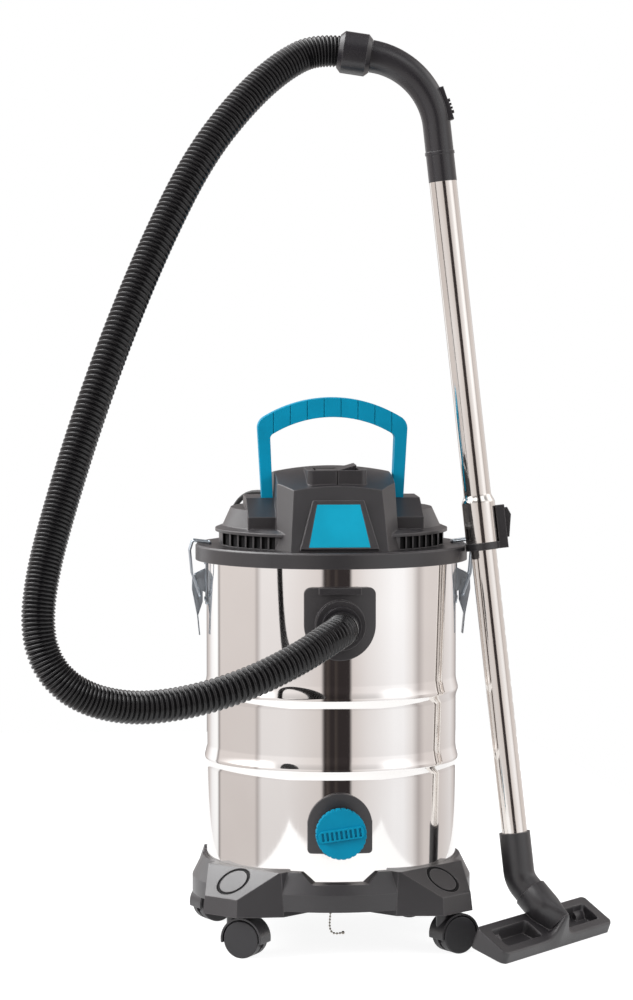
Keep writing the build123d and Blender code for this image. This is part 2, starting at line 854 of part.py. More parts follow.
# Carry handle: an arched bar on two legs, with grooves across its top
handle_foot_z = box_top_z - handle_socket_depth + seat_gap
with BuildPart() as carry_handle:
    with BuildSketch(Plane.XZ.offset(-handle_y - handle_depth / 2)) as handle_outline:
        with BuildLine():
            Line((-handle_root_half_width, handle_foot_z), (-handle_root_half_width, box_top_z))
            Line((-handle_root_half_width, box_top_z), (-handle_top_half_width, handle_corner_z))
            ThreePointArc(
                (-handle_top_half_width, handle_corner_z),
                (0, handle_top_z),
                (handle_top_half_width, handle_corner_z),
            )
            Line((handle_top_half_width, handle_corner_z), (handle_root_half_width, box_top_z))
            Line((handle_root_half_width, box_top_z), (handle_root_half_width, handle_foot_z))
            Line((handle_root_half_width, handle_foot_z), (handle_root_inner, handle_foot_z))
            Line((handle_root_inner, handle_foot_z), (handle_root_inner, box_top_z))
            Line((handle_root_inner, box_top_z), (handle_top_inner, handle_inner_corner_z))
            ThreePointArc(
                (handle_top_inner, handle_inner_corner_z),
                (0, handle_inner_top_z),
                (-handle_top_inner, handle_inner_corner_z),
            )
            Line((-handle_top_inner, handle_inner_corner_z), (-handle_root_inner, box_top_z))
            Line((-handle_root_inner, box_top_z), (-handle_root_inner, handle_foot_z))
            Line((-handle_root_inner, handle_foot_z), (-handle_root_half_width, handle_foot_z))
        make_face()
        outer_corners = handle_outline.vertices().filter_by_position(
            Axis.Y, handle_corner_z - 1, handle_corner_z + 1
        )
        fillet(outer_corners, radius=handle_corner_radius)
        inner_corners = handle_outline.vertices().filter_by_position(
            Axis.Y, handle_inner_corner_z - 1, handle_inner_corner_z + 1
        )
        fillet(inner_corners, radius=handle_inner_radius)
    extrude(amount=handle_depth)
    for face_y in (handle_y - handle_depth / 2, handle_y + handle_depth / 2):
        with Locations((0, face_y, handle_top_z)):
            with GridLocations(handle_groove_pitch, 0, handle_groove_count, 1):
                Box(
                    handle_groove,
                    2 * handle_groove,
                    2 * (handle_top_z - handle_inner_corner_z),
                    mode=Mode.SUBTRACT,
                )
save(carry_handle, "carry_handle")

# Motor, fan and its shroud, over the lid's eye
shroud_top_z = lid_top_z + shroud_height
with BuildPart() as fan_shroud:
    with BuildSketch(Plane.XZ):
        with BuildLine():
            Polyline(
                (shroud_eye_radius, lid_top_z),
                (shroud_radius, lid_top_z),
                (shroud_radius, shroud_top_z),
                (shaft_radius + 2, shroud_top_z),
                (shaft_radius + 2, shroud_top_z - shroud_wall),
                (shroud_radius - shroud_wall, shroud_top_z - shroud_wall),
                (shroud_radius - shroud_wall, lid_top_z + shroud_wall),
                (shroud_eye_radius, lid_top_z + shroud_wall),
                close=True,
            )
        make_face()
    revolve(axis=Axis.Z)
    with PolarLocations(shroud_radius, 6):
        with Locations((0, 0, lid_top_z + shroud_height / 2)):
            Box(8, 16, shroud_height / 2, mode=Mode.SUBTRACT)
save(fan_shroud, "fan_shroud")

motor_top_z = shroud_top_z + motor_height
fan_bottom_z = lid_top_z + shroud_wall + fan_floor_gap
with BuildPart() as motor:
    with BuildSketch(Plane.XY.offset(shroud_top_z)):
        Circle(motor_radius)
        Circle(shaft_radius + running_gap, mode=Mode.SUBTRACT)
    extrude(amount=motor_height * 0.6)
    with BuildSketch(Plane.XY.offset(shroud_top_z + motor_height * 0.6)):
        Circle(motor_radius * 0.6)
        Circle(shaft_radius + running_gap, mode=Mode.SUBTRACT)
    extrude(amount=motor_height * 0.4)
save(motor, "motor")

with BuildPart() as fan_rotor:
    with BuildSketch(Plane.XY.offset(fan_bottom_z)):
        Circle(fan_radius)
        Circle(shroud_eye_radius, mode=Mode.SUBTRACT)
    extrude(amount=fan_disc)
    with BuildSketch(Plane.XY.offset(fan_bottom_z + fan_height - fan_disc)):
        Circle(fan_radius)
    extrude(amount=fan_disc)
    with BuildSketch(Plane.XY.offset(fan_bottom_z)):
        with PolarLocations(0, fan_blade_count):
            with BuildLine():
                inner = ThreePointArc(
                    (shroud_eye_radius, 0), (fan_radius * 0.7, 9), (fan_radius - 2, 0)
                )
                outer = ThreePointArc(
                    (fan_radius - 2, 0), (fan_radius * 0.7, 10.5), (shroud_eye_radius - 2, 0)
                )
                Line(outer @ 1, inner @ 0)
            make_face()
    extrude(amount=fan_height)
    with BuildSketch(Plane.XY.offset(fan_bottom_z)):
        Circle(shaft_radius)
    extrude(amount=motor_top_z - seat_gap - fan_bottom_z)
save(fan_rotor, "fan_rotor")

# Filter cage under the lid, the float inside it and the cartridge round it
cage_height = lid_plate_z - cage_bottom_z
with BuildPart() as filter_cage:
    with BuildSketch(Plane.XY.offset(cage_bottom_z)):
        Circle(cage_radius)
    extrude(amount=cage_height)
    with BuildSketch(Plane.XY.offset(lid_plate_z - cage_flange)):
        Circle(cage_flange_radius)
    extrude(amount=cage_flange)
    with BuildSketch(Plane.XY.offset(cage_bottom_z + cage_wall)):
        Circle(cage_radius - cage_wall)
    extrude(amount=cage_height, mode=Mode.SUBTRACT)
    with PolarLocations(cage_radius, cage_slot_count):
        with Locations((0, 0, cage_bottom_z + cage_height * 0.45)):
            Box(4 * cage_wall, cage_slot_width, cage_slot_height, mode=Mode.SUBTRACT)
save(filter_cage, "filter_cage")

with BuildPart() as float_cup:
    with BuildSketch(Plane.XZ):
        float_base_z = cage_bottom_z + cage_wall + seat_gap
        with BuildLine():
            Polyline(
                (0, float_base_z),
                (float_radius - 6, float_base_z),
                (float_radius, float_base_z + 6),
                (float_radius, float_base_z + float_height - 6),
                (float_radius - 6, float_base_z + float_height),
                (0, float_base_z + float_height),
                close=True,
            )
        make_face()
    revolve(axis=Axis.Z)
save(float_cup, "float_cup")

with BuildPart() as filter_cartridge:
    with BuildSketch(Plane.XY.offset(lid_plate_z - cage_flange - seat_gap - cartridge_height)):
        with BuildLine():
            pleat_points = [
                (
                    (cartridge_radius - cartridge_pleat * (k % 2)) * cos(pi * k / cartridge_pleat_count),
                    (cartridge_radius - cartridge_pleat * (k % 2)) * sin(pi * k / cartridge_pleat_count),
                )
                for k in range(2 * cartridge_pleat_count)
            ]
            Polyline(*pleat_points, close=True)
        make_face()
        Circle(cage_radius + seat_gap, mode=Mode.SUBTRACT)
    extrude(amount=cartridge_height)
save(filter_cartridge, "filter_cartridge")

# Inlet flange on the drum's front, and the hose connector that plugs into it
inlet_boss_reach = drum_radius + inlet_boss_margin
connector_reach = inlet_boss_reach + connector_shown
plate_inner_radius = drum_radius + seat_gap
plate_outer_radius = plate_inner_radius + plate_thickness
shield_radius = inlet_plate_width / 2
inlet_plane = Plane.XZ.offset(plate_outer_radius - plate_thickness / 2)
with BuildPart() as inlet_flange:
    with BuildSketch(Plane.XZ):
        with Locations((0, inlet_z)):
            Circle(shield_radius)
            with Locations((0, (inlet_plate_top_z - inlet_z) / 2)):
                RectangleRounded(
                    inlet_plate_width, inlet_plate_top_z - inlet_z, inlet_plate_corner
                )
            Rectangle(
                inlet_plate_width,
                (inlet_plate_top_z - inlet_z) / 2,
                align=(Align.CENTER, Align.MIN),
            )
    extrude(amount=2 * drum_radius)
    # Only what lies against the drum's wall is kept
    with BuildSketch(Plane.XY.offset(inlet_z - inlet_plate_width)):
        Circle(plate_outer_radius)
        Circle(plate_inner_radius, mode=Mode.SUBTRACT)
    extrude(amount=2 * inlet_plate_width, mode=Mode.INTERSECT)
    with BuildSketch(inlet_plane):
        with Locations((0, inlet_z)):
            Circle(inlet_boss_radius)
    extrude(amount=inlet_boss_reach - plate_outer_radius + plate_thickness / 2)
    with BuildSketch(inlet_plane):
        with Locations((0, inlet_plate_top_z - inlet_plate_corner / 2)):
            Rectangle(inlet_ledge_width, inlet_plate_corner)
    extrude(amount=plate_thickness)
    # The spigot passes through the drum's wall
    with BuildSketch(inlet_plane):
        with Locations((0, inlet_z)):
            Circle(inlet_hole_radius - seat_gap)
    extrude(amount=-2 * plate_thickness)
    with BuildSketch(Plane.XZ):
        with Locations((0, inlet_z)):
            Circle(inlet_bore_radius)
    extrude(amount=2 * drum_radius, mode=Mode.SUBTRACT)
save(inlet_flange, "inlet_flange")

with BuildPart() as hose_connector:
    with BuildSketch(inlet_plane.offset(-plate_thickness)):
        with Locations((0, inlet_z)):
            Circle(inlet_bore_radius - seat_gap)
    extrude(amount=inlet_boss_reach + seat_gap - plate_outer_radius + 1.5 * plate_thickness)
    with BuildSketch(Plane.XZ.offset(inlet_boss_reach + seat_gap)):
        with Locations((0, inlet_z)):
            Circle(connector_radius)
    extrude(amount=connector_shown - seat_gap)
    with BuildSketch(Plane.XZ):
        with Locations((0, inlet_z)):
            Circle(connector_bore_radius)
    extrude(amount=2 * drum_radius, mode=Mode.SUBTRACT)
save(hose_connector, "hose_connector")

# Drain: an arched flange with a neck, its gasket and the ribbed cap
drain_neck_reach = drum_radius + drain_neck_margin
with BuildPart() as drain_flange:
    with BuildSketch(Plane.XZ):
        with Locations((0, drain_plate_arch_z)):
            Circle(drain_plate_half_width)
        with Locations((0, (drain_plate_bottom_z + drain_plate_arch_z) / 2)):
            RectangleRounded(
                2 * drain_plate_half_width,
                drain_plate_arch_z - drain_plate_bottom_z,
                drain_plate_corner,
            )
        with Locations((0, drain_plate_arch_z)):
            Rectangle(2 * drain_plate_half_width, 2.5 * drain_plate_corner)
    extrude(amount=2 * drum_radius)
    with BuildSketch(Plane.XY):
        Circle(plate_outer_radius)
        Circle(plate_inner_radius, mode=Mode.SUBTRACT)
    extrude(amount=drum_top_z, mode=Mode.INTERSECT)
    with BuildSketch(inlet_plane):
        with Locations((0, drain_z)):
            Circle(drain_neck_radius)
    extrude(amount=drain_neck_reach - plate_outer_radius + plate_thickness / 2)
    with BuildSketch(inlet_plane):
        with Locations((0, drain_z)):
            Circle(drain_hole_radius - seat_gap)
    extrude(amount=-2 * plate_thickness)
    with BuildSketch(Plane.XZ):
        with Locations((0, drain_z)):
            Circle(drain_bore_radius + running_gap)
    extrude(amount=2 * drum_radius, mode=Mode.SUBTRACT)
save(drain_flange, "drain_flange")

with BuildPart() as drain_gasket:
    with BuildSketch(Plane.XZ.offset(drain_neck_reach)):
        with Locations((0, drain_z)):
            Circle(drain_neck_radius)
            Circle(drain_bore_radius + 2 * seat_gap, mode=Mode.SUBTRACT)
    extrude(amount=gasket_thickness)
save(drain_gasket, "drain_gasket")

cap_back = drain_neck_reach + gasket_thickness + seat_gap
cap_front = cap_back + cap_thickness
with BuildPart() as drain_cap:
    with BuildSketch(Plane.XZ.offset(cap_back)):
        with Locations((0, drain_z)):
            Circle(cap_radius)
            with PolarLocations(cap_radius + cap_lobe_radius / 2, cap_lobe_count):
                Circle(cap_lobe_radius, mode=Mode.SUBTRACT)
    extrude(amount=cap_thickness)
    with BuildSketch(Plane.XZ.offset(cap_back - cap_stem_length)):
        with Locations((0, drain_z)):
            Circle(drain_bore_radius)
    extrude(amount=cap_stem_length)
    with BuildSketch(Plane.XZ.offset(cap_front)):
        with Locations(Location((0, drain_z, 0), (0, 0, cap_band_tilt))):
            RectangleRounded(cap_band_length, cap_band_width, cap_band_width / 3)
    extrude(amount=cap_band_height)
    with BuildSketch(Plane.XZ.offset(cap_front + cap_band_height / 3)):
        with Locations(Location((0, drain_z, 0), (0, 0, cap_band_tilt))):
            with GridLocations(cap_slot_pitch, 0, cap_slot_count, 1):
                Rectangle(cap_slot_width, cap_band_width - 4)
    extrude(amount=cap_band_height, mode=Mode.SUBTRACT)
save(drain_cap, "drain_cap")

# Over-centre latches: bracket with its pin, lever, and the wire bail that hooks over the rim
latch_pivot_reach = drum_radius + latch_pivot_margin
latch_arm_reach = latch_pivot_reach - latch_arm_inset
bail_bulge_reach = drum_radius + bail_bulge_margin
bail_hook_reach = tier_radius + bail_hook_clearance
latch_arm_z = latch_pivot_z - latch_arm_drop
bracket_outer_radius = plate_inner_radius + latch_sheet
for hand, side in (("left", -1), ("right", 1)):

    def across(*points):
        """Points given as reach and height, turned to this latch's side."""
        return [(side * reach, height) for reach, height in points]

    pivot = (side * latch_pivot_reach, latch_pivot_z)
    arm_pivot = (side * latch_arm_reach, latch_arm_z)
    ear_outer = latch_ear_inner + latch_sheet
    with BuildPart() as latch_bracket:
        with BuildSketch(Plane.YZ):
            with Locations((0, latch_pivot_z)):
                RectangleRounded(latch_plate_width, latch_plate_height, 4)
        extrude(amount=side * 2 * drum_radius)
        with BuildSketch(Plane.XY):
            Circle(bracket_outer_radius)
            Circle(plate_inner_radius, mode=Mode.SUBTRACT)
        extrude(amount=drum_top_z, mode=Mode.INTERSECT)
        for ear_y in (-ear_outer, latch_ear_inner):
            with BuildSketch(Plane.XZ.offset(-ear_y - latch_sheet)):
                with BuildLine():
                    Polyline(
                        *across(
                            (plate_inner_radius + latch_sheet / 2, latch_pivot_z - 16),
                            (latch_pivot_reach + 4, latch_pivot_z - latch_ear_half_height),
                            (latch_pivot_reach + 6, latch_pivot_z),
                            (latch_pivot_reach + 4, latch_pivot_z + latch_ear_half_height),
                            (plate_inner_radius + latch_sheet / 2, latch_pivot_z + 16),
                        ),
                        close=True,
                    )
                make_face()
            extrude(amount=latch_sheet)
        with BuildSketch(Plane.XZ.offset(-ear_outer - latch_sheet)):
            with Locations(pivot):
                Circle(latch_pin_radius)
        extrude(amount=2 * (ear_outer + latch_sheet))
    save(latch_bracket, f"latch_bracket_{hand}")

    with BuildPart() as latch_rivets:
        with BuildSketch(Plane.YZ.offset(side * bracket_outer_radius)):
            with Locations((0, latch_pivot_z)):
                with GridLocations(0, latch_plate_height - 14, 1, 2):
                    Circle(2.8)
        extrude(amount=side * 1.4)
    save(latch_rivets, f"latch_rivets_{hand}")

    tab_z = latch_pivot_z - lever_length
    web_line = [
        (latch_pivot_reach + 6.0, latch_pivot_z + 6),
        (latch_pivot_reach + 6.5, latch_pivot_z - 12),
        (latch_pivot_reach - 0.5, tab_z),
        (latch_pivot_reach - 3.0, tab_z - lever_tab_length),
    ]
    with BuildPart() as latch_lever:
        for cheek_y in (-latch_cheek_outer, latch_cheek_outer - latch_sheet):
            with BuildSketch(Plane.XZ.offset(-cheek_y - latch_sheet)):
                with BuildLine():
                    Polyline(
                        *across(
                            (latch_pivot_reach - 5, latch_pivot_z + 6),
                            (latch_pivot_reach + 6.5, latch_pivot_z + 6),
                            (latch_pivot_reach + 7, latch_pivot_z - 12),
                            (latch_pivot_reach, tab_z),
                            (latch_arm_reach - 4, latch_arm_z - 8),
                            (latch_arm_reach - 4, latch_arm_z + 5),
                        ),
                        close=True,
                    )
                make_face()
                with Locations(pivot):
                    Circle(latch_pin_radius + running_gap, mode=Mode.SUBTRACT)
                with Locations(arm_pivot):
                    Circle(bail_wire_radius + running_gap, mode=Mode.SUBTRACT)
            extrude(amount=latch_sheet)
        with BuildSketch(Plane.XZ.offset(-latch_cheek_outer)):
            with BuildLine():
                Polyline(
                    *across(
                        *web_line,
                        *[(reach + latch_sheet, height) for reach, height in reversed(web_line)],
                    ),
                    close=True,
                )
            make_face()
        extrude(amount=2 * latch_cheek_outer)
    save(latch_lever, f"latch_lever_{hand}")

    bail_bar_z = lid_top_z + bail_wire_radius + bail_ledge_gap
    bail_half = [
        (latch_arm_reach, 5, latch_arm_z),
        (latch_arm_reach, bail_half_width, latch_arm_z),
        (bail_bulge_reach - 3, bail_half_width, latch_pivot_z + 10),
        (bail_bulge_reach, bail_half_width, lid_top_z - 8),
        (lid_radius + 4, bail_half_width, bail_bar_z + 3),
        (bail_hook_reach, bail_half_width, bail_bar_z),
    ]
    bail_route = [(side * reach, y, z) for reach, y, z in bail_half]
    bail_route += [(side * reach, -y, z) for reach, y, z in reversed(bail_half)]
    with BuildPart() as latch_bail:
        with BuildLine() as bail_wire:
            FilletPolyline(*bail_route, radius=3)
        with BuildSketch(Plane(origin=bail_route[0], z_dir=(0, 1, 0))):
            Circle(bail_wire_radius)
        sweep(path=bail_wire.wire())
    save(latch_bail, f"latch_bail_{hand}")

# Wand: heights along it are measured from where it leans on the lid's rim
wand_up = unit(wand_direction)
wand_x = (Vector(*wand_right) - wand_up * Vector(*wand_right).dot(wand_up)).normalized()
wand_reach = lid_radius + sleeve_radius + wand_rim_gap
wand_origin = Vector(
    wand_reach * cos(radians(wand_lean_azimuth)),
    wand_reach * sin(radians(wand_lean_azimuth)),
    lid_top_z,
)
wand_plane = Plane(origin=wand_origin, x_dir=wand_x, z_dir=wand_up)
wand_side_plane = Plane(origin=wand_origin, x_dir=wand_x, z_dir=wand_x.cross(wand_up))
wand_axis = Axis(wand_origin, wand_up)
sleeve_bottom = -0.6 * sleeve_flange
sleeve_top = sleeve_bottom + sleeve_flange
bush_top = sleeve_top + sleeve_bush_length
upper_tube_top = sleeve_top + upper_tube_length
swage_top = sleeve_top + swage_length
bush_bore_radius = lower_tube_radius + sliding_gap
lug_inner = swage_radius + seat_gap
lug_top = sleeve_bottom + lug_height
button_centre = sleeve_top + (lug_top - sleeve_top) / 2

with BuildPart() as tube_sleeve:
    with BuildSketch(wand_plane.offset(sleeve_bottom)):
        Circle(sleeve_radius)
        with Locations((lug_reach / 2, 0)):
            Rectangle(lug_reach, lug_width)
    extrude(amount=sleeve_flange)
    with BuildSketch(wand_plane.offset(sleeve_top)):
        Circle(swage_radius - tube_wall - seat_gap / 3)
    extrude(amount=sleeve_bush_length)
    with BuildSketch(wand_plane.offset(sleeve_top)):
        with Locations(((lug_inner + lug_reach) / 2, 0)):
            Rectangle(lug_reach - lug_inner, lug_width)
    extrude(amount=lug_top - sleeve_top)
    with BuildSketch(wand_plane.offset(sleeve_bottom)):
        Circle(bush_bore_radius)
    extrude(amount=bush_top - sleeve_bottom, mode=Mode.SUBTRACT)
    # The button's pocket opens away from the tube
    with BuildSketch(wand_plane.offset(button_centre - button_length / 2 - seat_gap)):
        with Locations((lug_reach - button_pocket / 2 + 1, 0)):
            Rectangle(button_pocket + 2, button_width + 2 * seat_gap)
    extrude(amount=button_length + 2 * seat_gap, mode=Mode.SUBTRACT)
save(tube_sleeve, "tube_sleeve")

button_foot = lug_reach - button_pocket + button_travel + seat_gap
with BuildPart() as lock_button:
    with BuildSketch(wand_side_plane.offset(-button_width / 2)):
        with BuildLine():
            Polyline(
                (button_foot, button_centre - button_length / 2),
                (lug_reach + button_proud / 3, button_centre - button_length / 2),
                (lug_reach + button_proud, button_centre + button_length / 4),
                (lug_reach + button_proud / 2, button_centre + button_length / 2),
                (button_foot, button_centre + button_length / 2),
                close=True,
            )
        make_face()
    extrude(amount=button_width)
save(lock_button, "lock_button")

with BuildPart() as upper_tube:
    with BuildSketch(wand_side_plane):
        with BuildLine():
            Polyline(
                (swage_radius, sleeve_top),
                (swage_radius, swage_top),
                (upper_tube_radius, swage_top + swage_cone),
                (upper_tube_radius, upper_tube_top),
                (upper_tube_radius - tube_wall, upper_tube_top),
                (upper_tube_radius - tube_wall, swage_top + swage_cone),
                (swage_radius - tube_wall, swage_top),
                (swage_radius - tube_wall, sleeve_top),
                close=True,
            )
        make_face()
    revolve(axis=wand_axis)
save(upper_tube, "upper_tube")

cuff_top = sleeve_bottom - lower_tube_shown
lower_tube_bottom = cuff_top - lower_tube_in_cuff
with BuildPart() as lower_tube:
    with BuildSketch(wand_plane.offset(lower_tube_bottom)):
        Circle(lower_tube_radius)
        Circle(lower_tube_radius - tube_wall, mode=Mode.SUBTRACT)
    extrude(amount=lower_tube_overlap - lower_tube_bottom)
    # Detents for the tube lock, down the lock's side
    for number in range(detent_count):
        detent_height = sleeve_bottom - detent_pitch * (number + 1)
        detent_centre = wand_origin + wand_up * detent_height
        detent_centre += wand_x * (lower_tube_radius - detent_depth)
        with BuildSketch(Plane(origin=detent_centre, x_dir=wand_up, z_dir=wand_x)):
            Circle(detent_radius)
        extrude(amount=lower_tube_radius, mode=Mode.SUBTRACT)
save(lower_tube, "lower_tube")

# Grip: a bent tube from the wand's top to the hose
grip_plane = Plane(
    origin=wand_origin + wand_up * upper_tube_top,
    x_dir=-wand_x,
    z_dir=(-wand_x).cross(wand_up),
)
with BuildLine(grip_plane) as grip_path:
    grip_line = Line((0, 0), (0, grip_straight))
    grip_arc = JernArc(grip_line @ 1, grip_line % 1, grip_bend_radius, -grip_bend)
grip_end = grip_arc @ 1
hose_way = (grip_arc % 1).normalized()
with BuildPart() as grip:
    for share in (0, 0.25, 0.5, 0.75, 1):
        section_plane = Plane(origin=grip_arc @ share, z_dir=grip_arc % share)
        with BuildSketch(section_plane):
            Circle(grip_tube_end_radius + (grip_hose_end_radius - grip_tube_end_radius) * share)
    loft()
    with BuildSketch(wand_plane.offset(upper_tube_top)):
        Circle(grip_tube_end_radius)
    extrude(amount=grip_straight)
    with BuildSketch(wand_plane.offset(upper_tube_top + grip_straight / 2 - grip_ring_width / 2)):
        Circle(grip_ring_radius)
    extrude(amount=grip_ring_width)
    with BuildSketch(wand_plane.offset(upper_tube_top - grip_spigot_length)):
        Circle(upper_tube_radius - tube_wall - seat_gap / 3)
    extrude(amount=grip_spigot_length)
    # The spigot that the hose collar turns on
    with BuildSketch(Plane(origin=grip_end, z_dir=hose_way)):
        Circle(collar_spigot_radius)
    extrude(amount=collar_spigot_length)
    # Housing of the suction regulator, outside the bend
    regulator_share = (regulator_length / 2) / (grip_bend_radius * radians(grip_bend))
    regulator_along = (grip_arc % regulator_share).normalized()
    regulator_out = regulator_along.cross(grip_plane.z_dir).normalized() * -1
    regulator_plane = Plane(
        origin=grip_arc @ regulator_share, x_dir=regulator_along, z_dir=regulator_out
    )
    with BuildSketch(regulator_plane):
        Rectangle(regulator_length, regulator_width)
    extrude(amount=grip_tube_end_radius + slider_track_depth)
    with BuildSketch(regulator_plane.offset(grip_tube_end_radius)):
        Rectangle(slider_length + slider_travel + 2 * seat_gap, slider_width + 2 * seat_gap)
    extrude(amount=2 * slider_track_depth, mode=Mode.SUBTRACT)
    with BuildSketch(regulator_plane):
        Rectangle(slider_length * 0.4, slider_width * 0.6)
    extrude(amount=grip_tube_end_radius + slider_track_depth, mode=Mode.SUBTRACT)
    with BuildSketch(wand_plane.offset(upper_tube_top - grip_spigot_length)):
        Circle(grip_bore_radius)
    extrude(amount=grip_spigot_length + grip_straight, mode=Mode.SUBTRACT)
    with BuildSketch(Plane(origin=grip_arc @ 0, z_dir=grip_arc % 0)):
        Circle(grip_bore_radius)
    sweep(path=grip_arc, mode=Mode.SUBTRACT)
    with BuildSketch(Plane(origin=grip_end, z_dir=hose_way)):
        Circle(grip_bore_radius)
    extrude(amount=collar_spigot_length, mode=Mode.SUBTRACT)
save(grip, "grip")

with BuildPart() as regulator_slider:
    with BuildSketch(regulator_plane.offset(grip_tube_end_radius + seat_gap)):
        with Locations((-slider_travel / 2, 0)):
            Rectangle(slider_length, slider_width)
    extrude(amount=slider_height)
    with BuildSketch(regulator_plane.offset(grip_tube_end_radius + slider_track_depth + 1)):
        with Locations((-slider_travel / 2, 0)):
            with GridLocations(slider_length / 4, 0, 3, 1):
                Rectangle(slider_length / 8, slider_width + 2)
    extrude(amount=slider_height, mode=Mode.SUBTRACT)
save(regulator_slider, "regulator_slider")

# The collar stands clear of the grip's end and turns on its spigot
collar_plane = Plane(origin=grip_end + hose_way * seat_gap, z_dir=hose_way)
hose_stop = collar_length - collar_socket
with BuildPart() as hose_collar:
    with BuildSketch(collar_plane):
        Circle(collar_radius)
    extrude(amount=collar_length)
    chamfer(hose_collar.edges().filter_by(GeomType.CIRCLE), length=collar_chamfer)
    with BuildSketch(collar_plane):
        Circle(collar_spigot_radius + running_gap)
    extrude(amount=collar_spigot_length, mode=Mode.SUBTRACT)
    with BuildSketch(collar_plane):
        Circle(hose_bore_radius)
    extrude(amount=collar_length, mode=Mode.SUBTRACT)
    with BuildSketch(collar_plane.offset(hose_stop)):
        Circle(hose_radius + seat_gap)
    extrude(amount=collar_socket, mode=Mode.SUBTRACT)
save(hose_collar, "hose_collar")

# Hose: ribbed, from the connector round a loop on the left and up into the collar


def bend_radii(points, share=0.45):
    """Bend radius at each inner point, so a bend takes that share of its shorter run."""
    radii = []
    for before, corner, after in zip(points, points[1:], points[2:]):
        shorter = min((corner - before).length, (after - corner).length)
        turn = (corner - before).get_angle(after - corner)
        radii.append(share * shorter / tan(radians(turn) / 2))
    return radii


hose_end = grip_end + hose_way * (seat_gap + hose_stop)
hose_points = [
    Vector(0, -connector_reach, inlet_z),
    Vector(0, -connector_reach - 30, inlet_z),
    Vector(-18, -267, 438),
    Vector(-58, -295, 415),
    Vector(-125, -329, 386),
    Vector(-200, -357, 366),
    Vector(-274, -383, 360),
    Vector(-338, -403, 376),
    Vector(-380, -409, 411),
    Vector(-397, -403, 462),
    Vector(-390, -386, 530),
    Vector(-368, -356, 611),
    Vector(-333, -305, 720),
    Vector(-290, -241, 835),
    Vector(-240, -170, 950),
    Vector(-183, -101, 1060),
    Vector(-124, -56, 1135),
    Vector(-68, -28, 1186),
    hose_end + hose_way * 40,
    hose_end,
]
with BuildLine() as hose_path:
    FilletPolyline(*hose_points, radius=bend_radii(hose_points))
hose_wire = hose_path.wire()
with BuildPart() as hose_bore:
    with BuildSketch(Plane(origin=hose_wire @ 0, z_dir=hose_wire % 0)):
        Circle(hose_bore_radius)
    sweep(path=hose_wire)
with BuildPart() as hose:
    rib_x = Vector(0, 0, 1)
    for station in range(2 * hose_rib_count + 1):
        way = hose_wire % (station / (2 * hose_rib_count))
        rib_x = (rib_x - way * rib_x.dot(way)).normalized()
        rib_plane = Plane(
            origin=hose_wire @ (station / (2 * hose_rib_count)), x_dir=rib_x, z_dir=way
        )
        with BuildSketch(rib_plane):
            Circle(hose_root_radius if station % 2 == 0 else hose_radius)
    loft(ruled=True)
    add(hose_bore.part, mode=Mode.SUBTRACT)
save(hose, "hose")

# Nozzle: elbow on the lower tube, and the floor tool that swivels on it
long_way = Vector(cos(radians(nozzle_long_azimuth)), sin(radians(nozzle_long_azimuth)), 0)
rear_way = Vector(-long_way.Y, long_way.X, 0)
neck_up = rear_way * cos(radians(neck_rise)) + Vector(0, 0, sin(radians(neck_rise)))
elbow_corner = wand_origin + wand_up * (cuff_top - cuff_length)
swivel_centre = elbow_corner - neck_up * elbow_reach
swivel_plane = Plane(origin=swivel_centre, x_dir=long_way, z_dir=-neck_up)
nozzle_origin = Vector(elbow_corner.X, elbow_corner.Y, 0) - rear_way * nozzle_lead
sole_up = Vector(0, 0, cos(radians(nozzle_pitch))) - rear_way * sin(radians(nozzle_pitch))
# Local X runs along the nozzle, local Y to its rear along the sole, local Z up from the sole
nozzle_plane = Plane(origin=nozzle_origin, x_dir=long_way, z_dir=sole_up)
nozzle_end_plane = Plane(
    origin=nozzle_origin - long_way * nozzle_length / 2,
    x_dir=nozzle_plane.y_dir,
    z_dir=long_way,
)

with BuildPart() as nozzle_elbow:
    with BuildLine() as elbow_path:
        FilletPolyline(
            wand_origin + wand_up * cuff_top,
            elbow_corner,
            swivel_centre,
            radius=elbow_bend_radius,
        )
    with BuildSketch(wand_plane.offset(cuff_top)):
        Circle(cuff_radius)
        Circle(elbow_bore_radius, mode=Mode.SUBTRACT)
    sweep(path=elbow_path.wire())
    with BuildSketch(swivel_plane):
        Circle(swivel_spigot_radius)
        Circle(elbow_bore_radius, mode=Mode.SUBTRACT)
    extrude(amount=swivel_spigot_length)
    with BuildSketch(wand_plane.offset(lower_tube_bottom)):
        Circle(lower_tube_radius + seat_gap / 3)
    extrude(amount=lower_tube_in_cuff, mode=Mode.SUBTRACT)
save(nozzle_elbow, "nozzle_elbow")

